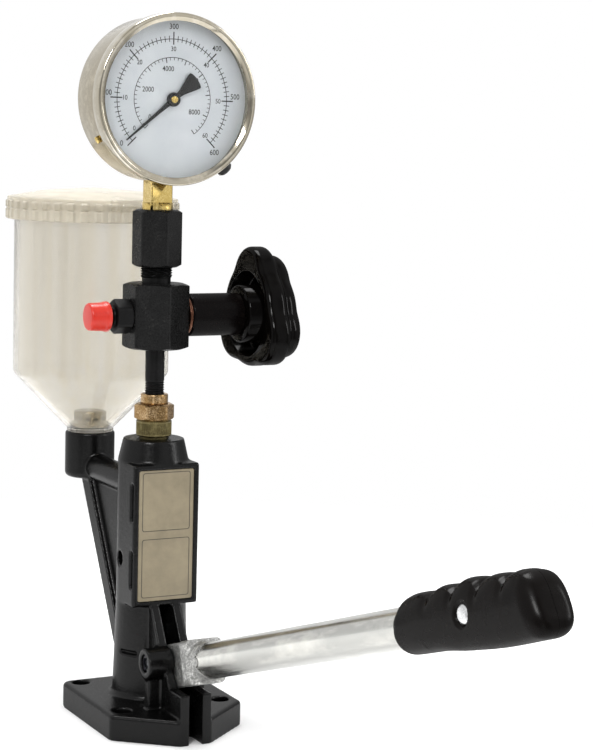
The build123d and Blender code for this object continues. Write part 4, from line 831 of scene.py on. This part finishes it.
def dialText(text, x, y, size):
    # a flat figure: made a mesh first, then narrowed, moved to x, y on the dial and stood upright with it
    curve = bpy.data.curves.new("number", "FONT")
    curve.body = text
    curve.size = size
    curve.offset = dialLook["heavy"]
    curve.align_x = "CENTER"
    curve.align_y = "CENTER"
    curve.resolution_u = 3
    carrier = bpy.data.objects.new("number", curve)
    bpy.context.scene.collection.objects.link(carrier)
    graph = bpy.context.evaluated_depsgraph_get()
    mesh = bpy.data.meshes.new_from_object(carrier.evaluated_get(graph))
    bpy.data.objects.remove(carrier)
    count = len(mesh.vertices)
    flat = np.empty(count * 3, np.float32)
    mesh.vertices.foreach_get("co", flat)
    flat = flat.reshape(-1, 3).astype(float)
    raised = np.full(count, dialLook["figures"])
    flat = np.stack([flat[:, 0] * dialLook["narrow"] + x, flat[:, 1] + y, raised], -1)
    placed = (flat @ toFront + np.array(gaugePlace["origin"])) * mm
    mesh.vertices.foreach_set("co", placed.astype(np.float32).ravel())
    mesh.update()
    return mesh


def outerScale():
    # a mark for each ten units; each hundred has its figure outside and a tenth of it inside
    look, outer = dialLook, dialLook["outer"]
    parts = [dialArc(outer, look["outerLine"], dialAngle(0), dialAngle(look["fullScale"]))]
    for step in range(look["fullScale"] // 10 + 1):
        angle = dialAngle(step * 10)
        out, back, width = look["outerLong"] if step % 10 == 0 else look["outerShort"]
        parts.append(dialMark(angle, outer - back, outer + out, width))
        if step % 10 == 0:
            x, y = (outer + look["figuresOut"]) * np.array([math.cos(angle), math.sin(angle)])
            aside = {0: (-3.6, 1.6), 10: (-1.7, 2.6), 50: (0.9, 2.6), 60: (-0.4, -2.6)}.get(step, (0, 2.6))
            parts.append(dialText(str(step * 10), x + aside[0], y + aside[1], look["figureSize"]))
            x, y = np.array(look["insideReach"]) * [math.cos(angle), math.sin(angle)]
            aside = {0: (-2.4, 3.2), 50: (-0.8, -0.3)}.get(step, (0, 0))
            parts.append(dialText(str(step), x + aside[0], y + aside[1], look["insideSize"]))
    return parts


def innerScale():
    # a mark for each two hundred of its own units and a figure for each two thousand
    look, inner = dialLook, dialLook["inner"]
    parts = [dialArc(inner, look["innerLine"], dialAngle(0), dialAngle(look["innerEnd"]))]
    for step in range(look["innerMarks"]):
        angle = dialAngle(step * 200 / look["innerUnit"])
        length, width = look["innerLong"] if step % 5 == 0 else look["innerShort"]
        parts.append(dialMark(angle, inner - length, inner, width))
        if step % 10 == 0:
            x, y = np.array(look["innerReach"]) * [math.cos(angle), math.sin(angle)]
            aside = {0: (-2.6, 2.0), 40: (-0.9, 0)}.get(step, (0, 0))
            parts.append(dialText(str(step * 200), x + aside[0], y + aside[1], look["innerSize"]))
    return parts


printMesh = joinMeshes("gaugeDialPrint", outerScale() + innerScale(), 20)
newPiece("gaugeDialPrint", printMesh, dialInk, "stand")

# half widths run along the needle from its tip, over the axis at 0, to the tail
pointerLook = {"turn": 219.5, "low": 20.2, "high": 20.9, "hub": 4.2, "hubLow": 20.1, "hubHigh": 22.1,
               "screwShank": 1.2, "screwHead": 2.1, "screwHigh": 22.75, "screwCrown": 22.85,
               "halfWidths": [(38.5, 0.38), (12, 1.05), (3.5, 1.5), (-3.5, 1.5), (-7, 2.0), (-11, 3.3),
                              (-15, 4.7), (-18, 5.5)], "tailRound": 1.6}


def makePointer():
    # a flat needle from its half widths, a turned hub, and the turned head of the arbor
    look, angle = pointerLook, math.radians(pointerLook["turn"])
    direction = np.array([math.cos(angle), math.sin(angle)])
    side = np.array([-direction[1], direction[0]])
    outline = look["halfWidths"]
    end, half = outline[-1]
    points = [direction * along + side * wide for along, wide in outline]
    points += [direction * (end - look["tailRound"] * math.cos(t)) + side * half * math.sin(t)
               for t in np.linspace(1.3, -1.3, 9)]
    points += [direction * along - side * wide for along, wide in outline[::-1]]
    needle = flatShape(points, look["low"], look["high"])
    low, high = look["hubLow"], look["hubHigh"]
    hub = turned("hub", [(0, low, 0), (look["hub"], low, 0.2), (look["hub"], high, 0.7), (0, high, 0)], 64,
                 closed=False, **gaugePlace)
    mesh = joinMeshes("gaugePointer", [needle, hub], 25)
    newPiece("gaugePointer", mesh, pointerPaint, "pointer", ["gauge_pointer"])
    shank, head = look["screwShank"], look["screwHead"]
    screw = turned("arborHead", [(0, 10, 0), (shank, 10, 0), (shank, high, 0), (head, high, 0.1),
                                 (head, look["screwHigh"], 0.5), (0, look["screwCrown"], 0)], 48,
                   closed=False, **gaugePlace)
    newPiece("gaugeArborHead", screw, brassTurned, "pointer", ["gauge_arbor"])


makePointer()
print("gauge made")

# lever, in mm along its tube from the place under the pivot and in heights over its axis

tubeLook = {"radius": 10.65, "wall": 2.6, "start": 33.5, "end": 397.0, "rings": (40, 390, 36)}
gripLook = {"start": 290.0, "end": 411.5, "halfWidth": 12.75, "cap": 9.5, "corner": 7.5, "bore": 10.7,
            "boreEnd": 397.2, "screw": 354.2, "screwUp": 1.4, "sink": 6.2, "sinkDeep": 0.5, "hole": 5.2,
            "seat": 10.72, "roundLong": 25, "square": 0.26, "leanStart": 380, "lean": 0.3,
            "lip": 1.6, "lipLong": 4.5, "mouthLong": 20, "mouthLean": 0.16}
gripScrewLook = {"shank": 2.5, "shankLong": 7, "head": 4.7, "headHigh": 0.5, "top": 3.6, "topHigh": 1.3,
                 "crown": 1.6}
# place and height: crests and hollows over a smooth top line, that line, then the underside
gripTop = [(290, 12.6), (293, 14.0), (298, 15.1), (304, 15.6), (310, 15.6), (316, 14.6), (320.8, 12.8),
           (325.5, 15.4), (332, 16.8), (338.5, 15.8), (343, 13.1), (347.5, 16.6), (354, 18.0), (360.5, 16.7),
           (365, 12.9), (369.5, 16.2), (376, 17.3), (382.5, 16.2), (387, 13.4), (391.5, 16.2), (398, 17.0),
           (401.5, 16.4)]
gripCore = [(290, 12.2), (300, 12.6), (321, 12.4), (354, 12.8), (387, 13.2), (401, 14.0)]
gripBottom = [(290, -13.4), (300, -13.6), (317, -13.6), (344, -15.1), (369, -15.8), (401, -14.9)]


def smoothCurve(points, at):
    # a cubic between each two points; its slope at a point is the harmonic mean of those on both sides,
    # and flat where the line turns back
    s = np.array([p[0] for p in points], float)
    h = np.array([p[1] for p in points], float)
    slope = np.diff(h) / np.diff(s)
    before, after = slope[:-1], slope[1:]
    mean = np.where(before * after > 0, 2 * before * after / (before + after + 1e-12), 0)
    tangent = np.concatenate([[slope[0]], mean, [slope[-1]]])
    i = np.clip(np.searchsorted(s, at) - 1, 0, len(s) - 2)
    width = s[i + 1] - s[i]
    t = (at - s[i]) / width
    return ((2 * t ** 3 - 3 * t ** 2 + 1) * h[i] + (t ** 3 - 2 * t ** 2 + t) * width * tangent[i]
            + (3 * t ** 2 - 2 * t ** 3) * h[i + 1] + (t ** 3 - t ** 2) * width * tangent[i + 1])


def gripSkin(angles):
    # each section lies between an ellipse and a rounded rectangle, its sine and cosine raised to a power;
    # the crests are added on top and fade out a third of the way round
    look, start, cap = gripLook, gripLook["start"], gripLook["cap"]
    straight = look["end"] - cap
    fall = np.linspace(0, math.pi / 2, 14)[1:]
    along = np.concatenate([start + np.array([0, 0.3, 0.8, 1.5]), np.linspace(start + 2.3, straight, 190),
                            straight + cap * np.sin(fall)])
    drop = np.concatenate([np.zeros(len(along) - len(fall)), cap * (1 - np.cos(fall))])
    lip = look["lip"] * (1 - np.clip((along - start) / look["lipLong"], 0, 1)) ** 2
    held = np.minimum(along, straight)
    crest, core, low = (smoothCurve(line, held) for line in (gripTop, gripCore, gripBottom))
    half = (look["halfWidth"] - lip - drop * look["corner"] / cap)[:, None]
    core, low, bumps = (core - lip - drop)[:, None], (low + lip + drop)[:, None], (crest - core)[:, None]
    sine, cosine = np.sin(angles)[None], np.cos(angles)[None]
    # round at the mouth, squarer further on
    power = (1.0 - look["square"] * np.clip((along - start) / look["roundLong"], 0, 1))[:, None]
    bent = np.sign(sine) * np.abs(sine) ** power
    x = half * np.sign(cosine) * np.abs(cosine) ** power
    h = (core + low) / 2 + (core - low) / 2 * bent + bumps * np.clip((sine - 0.2) / 0.6, 0, 1) ** 0.8
    # the far end leans: its top falls back and its foot comes forward
    leaning = np.clip((along - look["leanStart"]) / (look["end"] - look["leanStart"]), 0, 1) ** 1.5
    mouthward = np.clip((start + look["mouthLong"] - along) / look["mouthLong"], 0, 1) ** 1.5
    shift = (look["mouthLean"] * mouthward - look["lean"] * leaning)[:, None] * h
    return np.stack([x, h, along[:, None] + shift], -1)


def sinkScrewHole(outer):
    # on the side that faces -X, a shallow ring and then a hole down to the tube, by distance from the screw
    look = gripLook
    side, away = outer[..., 0], np.hypot(outer[..., 1] - look["screwUp"], outer[..., 2] - look["screw"])
    sunk = side + np.clip((look["sink"] - away) / 0.8 + 0.5, 0, 1) * look["sinkDeep"]
    holed = np.clip((look["hole"] - away) / 0.5 + 0.5, 0, 1)
    inner = np.maximum(sunk, -look["seat"] - 1.1 * (1 - holed))
    near = (side < -4) & (away < look["sink"] + 0.5)
    outer[..., 0] = np.where(near, np.where(holed > 0, inner, sunk), side)


def makeGrip():
    # rings from the end of the bore out through the mouth and along the skin, closed at the far end
    look, count = gripLook, 200
    angles = np.linspace(0, 2 * math.pi, count, endpoint=False)
    outer = gripSkin(angles)
    sinkScrewHole(outer)
    bore, start = look["bore"], look["start"]
    mouthRows = ((0.0, look["boreEnd"]), (bore, look["boreEnd"]), (bore, start + 0.8), (bore + 0.5, start))
    mouth = [np.stack([r * np.cos(angles), r * np.sin(angles), np.full(count, s)], -1)
             for r, s in mouthRows]
    face = np.repeat(outer[-1].mean(0)[None], count, 0)
    grid = np.concatenate([np.array(mouth), outer, face[None]])
    mesh = meshFromGrid("leverGrip", grid, True, False, alongLever, leverOrigin, 50)
    newPiece("leverGrip", mesh, gripPlastic, "lever", ["lever_grip"])


def makeTube():
    # a turned pipe with rings all along it
    look, outer = tubeLook, tubeLook["radius"]
    inner = outer - look["wall"]
    rows = [(inner, look["start"], 0), (outer, look["start"], 0)]
    rows += [(outer, s, 0) for s in np.linspace(*look["rings"])]
    rows += [(outer, look["end"], 0.5), (inner, look["end"], 0)]
    tube = turned("leverTube", rows, 96, axes=alongLever, origin=leverOrigin)
    newPiece("leverTube", tube, zincTube, "lever", ["lever_tube"])


def makeGripScrew():
    # its axis points to -X and its head lies on the tube
    look, shank, head = gripScrewLook, gripScrewLook["shank"], gripScrewLook["head"]
    _, up, along = alongLever
    place = np.array(leverOrigin) + along * gripLook["screw"] + up * gripLook["screwUp"]
    rows = [(0, -look["shankLong"], 0), (shank, -look["shankLong"], 0), (shank, 0, 0), (head, 0, 0.2),
            (head, look["headHigh"], 0.4), (look["top"], look["topHigh"], 1.0), (0, look["crown"], 0)]
    screw = turned("gripScrew", rows, 64, closed=False, axes=np.array([up, along, [-1, 0, 0]]),
                   origin=tuple(place - np.array([gripLook["seat"], 0, 0])))
    newPiece("gripScrew", screw, brightZinc, "lever", ["grip_screw"])


makeGrip()
makeTube()
makeGripScrew()


def joinInto(piece, mesh):
    # adds a mesh in place to a piece, for a remesh to melt the two together
    shape = bmesh.new()
    shape.from_mesh(piece.data)
    shape.from_mesh(mesh)
    shape.to_mesh(piece.data)
    shape.free()
    bpy.data.meshes.remove(mesh)


def roughen(piece, look):
    # remesh a solid as a casting, ease its edges and raise its skin by soft noise
    remesh = piece.modifiers.new("voxels", "REMESH")
    remesh.mode = "VOXEL"
    remesh.voxel_size = look["voxelMm"] * mm
    relax = piece.modifiers.new("relax", "SMOOTH")
    relax.factor = 0.5
    relax.iterations = look["smoothing"]
    clouds = bpy.data.textures.new(piece.name + "Skin", "CLOUDS")
    clouds.noise_scale = look["lumpMm"] * mm
    raised = piece.modifiers.new("skin", "DISPLACE")
    raised.texture = clouds
    raised.strength = look["depthMm"] * mm
    raised.mid_level = 0.5
    applyModifiers(piece).shade_smooth()


# the casting runs out over the tube in a concave fillet, in radius and place along the lever
rootLook = {"voxelMm": 0.6, "smoothing": 3, "depthMm": 0.45, "lumpMm": 2.6,
            "fillet": [(10.72, 38, 0), (12.1, 38, 0), (12.9, 44.5, 0), (12.1, 47.0, 0), (11.5, 50.5, 0),
                       (11.15, 55.0, 0), (10.72, 58.0, 0)]}
rootPiece = copyNode("leverRoot", "lever_root", castZinc, "lever")
joinInto(rootPiece, turned("rootFillet", rootLook["fillet"], 96, axes=alongLever, origin=leverOrigin))
roughen(rootPiece, rootLook)
print("lever made")

# reservoir

cupLook = {"y": 105.0, "radius": 51.0, "wall": 3.0, "top": 315.7, "coneTop": 204.2, "bend": 5.0,
           "shoulder": 15.4, "shoulderHigh": 2.2, "neck": 13.2, "neckTop": 165.2, "neckLow": 147.2,
           "bore": 9.5, "seatZ": 168.9, "seat": 13.85}
lidLook = {"radius": 55.6, "rib": 1.0, "ribs": 40, "low": 304.6, "shoulder": 319.0, "groove": 311.6,
           "over": 51.35, "inside": 316.05, "bend": 33.4, "bendHigh": 323.15, "bendLow": 320.2,
           "bendRound": 30, "top": 325.5, "topInside": 322.5, "flat": 48.3, "ribSharp": 2.2, "ribWide": 0.4,
           "ribTop": 2.2, "ribFade": 0.5, "grooveHalf": 0.7, "skin": 0.3}


def makeCup():
    # a walled outline of neck, shoulder, cone and straight side, turned about an upright axis
    look = cupLook
    bore, neck, shoulder, outer = look["bore"], look["neck"], look["shoulder"], look["radius"]
    inner, top, cone, neckTop = outer - look["wall"], look["top"], look["coneTop"], look["neckTop"]
    rows = [(bore, look["neckLow"], 0), (neck, look["neckLow"], 0.4), (neck, neckTop, 0.2),
            (shoulder, neckTop, 0.6), (shoulder, neckTop + look["shoulderHigh"], 0.8),
            (outer, cone, look["bend"]), (outer, top, 0.6), (inner, top, 0.6),
            (inner, cone + 0.4, look["bend"]), (look["seat"], look["seatZ"], 1.5), (bore, look["seatZ"], 0.5)]
    cup = turned("reservoirCup", rows, 192, origin=(0, look["y"], 0), steps=7)
    newPiece("reservoirCup", cup, clearCup, "stand", ["reservoir_cup"])


def lidRibs(r, a, z):
    # ribs where the clipped cosine of their count times the angle is high, broken by one groove
    look = lidLook
    wave = np.clip(np.cos(a * look["ribs"]) * look["ribSharp"] + look["ribWide"], 0, 1)
    inside = np.minimum(z - look["low"], look["shoulder"] - look["ribTop"] - z)
    band = np.clip(inside / look["ribFade"], 0, 1)
    groove = 1 - np.clip(1 - np.abs(z - look["groove"]) / look["grooveHalf"], 0, 1)
    return np.where(r > look["radius"] - look["skin"], r + look["rib"] * wave * band * groove, r)


def makeLid():
    # a walled outline under a low dome, turned, with rows enough down its side for the ribs
    look, outer, over, bend = lidLook, lidLook["radius"], lidLook["over"], lidLook["bend"]
    rows = [(over, look["low"], 0), (outer - 0.2, look["low"], 0)]
    rows += [(outer, z, 0) for z in np.linspace(look["low"] + 0.2, look["shoulder"] - 1.6, 26)]
    rows += [(outer, look["shoulder"], 1.5), (bend, look["bendHigh"], look["bendRound"]), (0, look["top"], 0),
             (0, look["topInside"], 0), (bend, look["bendLow"], look["bendRound"]),
             (look["flat"], look["inside"], 0.4), (over, look["inside"], 0)]
    lid = turned("reservoirLid", rows, 480, origin=(0, cupLook["y"], 0), radius=lidRibs, closed=False,
                 steps=6)
    newPiece("reservoirLid", lid, clearLid, "lid", ["reservoir_lid"])


makeCup()
makeLid()
print("reservoir made")

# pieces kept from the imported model

kept = {
    "plunger_tappet": ("plungerTappet", plainSteel, "plunger", "hard_steel"),
    "pump_plunger": ("pumpPlunger", plainSteel, "plunger", "hard_steel"),
    "pump_barrel": ("pumpBarrel", plainSteel, "stand", "hard_steel"),
    "return_spring": ("returnSpring", springSteel, "stand", "spring_steel"),
    "delivery_valve": ("deliveryValve", plainSteel, "delivery_needle", "hard_steel"),
    "delivery_spring": ("deliverySpring", springSteel, "stand", "spring_steel"),
    "tappet_guide_screw": ("tappetGuideScrew", plainSteel, "stand", "zinc_steel"),
    "spindle_seal": ("spindleSeal", sealRubber, "stand", "seal_rubber"),
    "knob_grub_screw": ("knobGrubScrew", plainSteel, "knob", "zinc_steel"),
    "valve_spindle": ("valveSpindle", plainSteel, "spindle", "hard_steel"),
    "gauge_seal": ("gaugeSeal", copperSoft, "stand", "copper"),
    "bezel_screws": ("bezelScrews", brassTurned, "stand", "brass"),
    "blowout_plug": ("blowoutPlug", sealRubber, "stand", "seal_rubber"),
    "gauge_movement": ("gaugeMovement", brassTurned, "stand", "brass"),
    "bourdon_tube": ("bourdonTube", bronzeTube, "stand", "bronze"),
    "pivot_pin": ("pivotPin", plainSteel, "stand", "zinc_steel"),
    "pin_circlips": ("pinCirclips", springSteel, "stand", "spring_steel"),
    "neck_seal": ("neckSeal", sealRubber, "stand", "seal_rubber"),
    "reservoir_strainer": ("reservoirStrainer", stainlessPressed, "stand", "stainless"),
}
for node, (name, material, body, slot) in kept.items():
    copyNode(name, node, material, body, 28)

# each spring, listed with the joint it follows, the end that stays and how far it travels, gets a mesh of its
# own
springs = {"returnSpring": {"joint": "plunger_stroke", "held": 117.9, "travel": 9.12},
           "deliverySpring": {"joint": "delivery_lift", "held": 179.9, "travel": 1.0}}
for name, look in springs.items():
    spring = bpy.data.objects[name]
    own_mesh(spring)
print("kept pieces dressed")

# stage, in metres

floorLook = {"colour": "#f6f6f6", "size": 2.0, "near": 0.42, "far": 0.75}
roomLook = {"panels": 2.6, "upright": 0.4, "gap": (0.42, 0.58), "front": (-0.3, 0.1), "dimming": 0.68,
            "card": (0.85, 0.45, -0.15), "cardEdge": 0.72, "cardShade": 0.25, "seenGap": (0.4, 0.58),
            "through": (0.8, 1.02)}
lamps = {  # place, width, height and watts; all point at the object
    "keyBox": ((-1.3, -1.5, 1.5), 0.5, 0.5, 26),
    "fillBox": ((1.5, -1.0, 0.9), 0.3, 0.9, 9),
    "topBox": ((0.1, 0.4, 1.9), 0.8, 0.8, 28)}


def makeFloor():
    # pale paper that takes the object's shadow and gives way to the white backdrop further out
    look, size = floorLook, floorLook["size"]
    mesh = bpy.data.meshes.new("floor")
    corners = [(-size, -size, 0), (size, -size, 0), (size, size, 0), (-size, size, 0)]
    mesh.from_pydata(corners, [], [(0, 1, 2, 3)])
    floor = bpy.data.objects.new("floor", mesh)
    bpy.context.scene.collection.objects.link(floor)
    material, tree, place = newMaterial("paleFloorPaper")
    paper = addNode(tree, "ShaderNodeBsdfPrincipled", {
        "Base Color": linear(look["colour"]), "Roughness": 0.9})
    away = addNode(tree, "ShaderNodeVectorMath", {0: place}, operation="LENGTH").outputs["Value"]
    share = addNode(tree, "ShaderNodeMapRange", {
        "Value": away, "From Min": look["near"], "From Max": look["far"]})
    clear = addNode(tree, "ShaderNodeBsdfTransparent")
    mixed = addNode(tree, "ShaderNodeMixShader", {0: share, 1: paper, 2: clear})
    addNode(tree, "ShaderNodeOutputMaterial", {"Surface": mixed})
    mesh.materials.append(material)


def makeWorld():
    # white where the camera looks past the object; to everything else a bright room with soft upright
    # panels, with dim gaps between them in front, and one dark card to the right
    look = roomLook
    world = bpy.data.worlds.new("studio")
    bpy.context.scene.world = world
    world.use_nodes = True
    tree = world.node_tree
    tree.nodes.clear()
    paths = addNode(tree, "ShaderNodeLightPath").outputs
    direction = addNode(tree, "ShaderNodeTexCoord").outputs["Generated"]
    drawnUp = addNode(tree, "ShaderNodeMapping", {"Vector": direction, "Scale": (1, 1, look["upright"])})
    panels = addNode(tree, "ShaderNodeTexNoise", {"Vector": drawnUp, "Scale": look["panels"], "Detail": 1.0,
                                                  "Roughness": 0.4})
    depth = addNode(tree, "ShaderNodeSeparateXYZ", {"Vector": direction}).outputs["Y"]
    low, high = look["front"]
    front = addNode(tree, "ShaderNodeMapRange", {"Value": depth, "From Min": low, "From Max": high,
                                                 "To Min": look["dimming"], "To Max": 0.0})
    low, high = look["gap"]
    between = addNode(tree, "ShaderNodeMapRange", {"Value": panels, "From Min": low, "From Max": high,
                                                   "To Min": 1.0, "To Max": 0.0})
    gaps = addNode(tree, "ShaderNodeMath", {0: between, 1: front}, operation="MULTIPLY")
    bright = addNode(tree, "ShaderNodeMath", {0: 1.0, 1: gaps}, operation="SUBTRACT")
    facing = addNode(tree, "ShaderNodeVectorMath", {0: direction, 1: look["card"]}, operation="DOT_PRODUCT")
    card = addNode(tree, "ShaderNodeMapRange", {
        "Value": facing.outputs["Value"], "From Min": look["cardEdge"], "From Max": 1.0, "To Min": 1.0,
        "To Max": look["cardShade"]})
    room = addNode(tree, "ShaderNodeMath", {0: bright, 1: card}, operation="MULTIPLY")
    (low, high), (dim, bare) = look["seenGap"], look["through"]
    through = addNode(tree, "ShaderNodeMapRange", {"Value": panels, "From Min": low, "From Max": high,
                                                   "To Min": dim, "To Max": bare})
    lit, behind, seen = (addNode(tree, "ShaderNodeBackground", {"Color": linear("#ffffff"), "Strength": each})
                         for each in (room, through, 1.0))
    unseen = addNode(tree, "ShaderNodeMixShader", {0: paths["Is Transmission Ray"], 1: lit, 2: behind})
    whole = addNode(tree, "ShaderNodeMixShader", {0: paths["Is Camera Ray"], 1: unseen, 2: seen})
    addNode(tree, "ShaderNodeOutputWorld", {"Surface": whole})


def softbox(name, place, width, height, watts, target=(0, 0, 0.2)):
    # a rectangular area light turned to the place it points at
    lamp = bpy.data.lights.new(name, "AREA")
    lamp.shape = "RECTANGLE"
    lamp.size = width
    lamp.size_y = height
    lamp.energy = watts
    carrier = bpy.data.objects.new(name, lamp)
    bpy.context.scene.collection.objects.link(carrier)
    carrier.location = place
    carrier.rotation_euler = (Vector(target) - Vector(place)).to_track_quat("-Z", "Y").to_euler()


makeFloor()
makeWorld()
for name, settings in lamps.items():
    softbox(name, *settings)

# camera solved from the photograph: place in mm, turn in degrees, focal length in pixels of its height
cameraLook = {"place": (-495.47, -1130.56, 364.45), "yaw": 27.71, "pitch": 6.85, "roll": -1.45,
              "focal": 2019.24, "pixels": 750, "sensorMm": 36}


def makeCamera():
    # ahead from yaw and pitch, then right and up turned about it by the roll
    look = cameraLook
    yaw, pitch, roll = (math.radians(look[k]) for k in ("yaw", "pitch", "roll"))
    ahead = Vector((math.sin(yaw) * math.cos(pitch), math.cos(yaw) * math.cos(pitch), -math.sin(pitch)))
    side = Vector((math.cos(yaw), -math.sin(yaw), 0))
    lift = side.cross(ahead)
    right = math.cos(roll) * side - math.sin(roll) * lift
    up = math.sin(roll) * side + math.cos(roll) * lift
    lens = bpy.data.cameras.new("photoCamera")
    lens.sensor_fit = "AUTO"
    lens.sensor_width = look["sensorMm"]
    lens.lens = look["focal"] / look["pixels"] * look["sensorMm"]
    camera = bpy.data.objects.new("photoCamera", lens)
    bpy.context.scene.collection.objects.link(camera)
    turn = Matrix((right, up, -ahead)).transposed()
    camera.matrix_world = Matrix.Translation(Vector(look["place"]) * mm) @ turn.to_4x4()
    bpy.context.scene.camera = camera


makeCamera()
bpy.context.scene.view_settings.view_transform = "Standard"
print("scene ready")
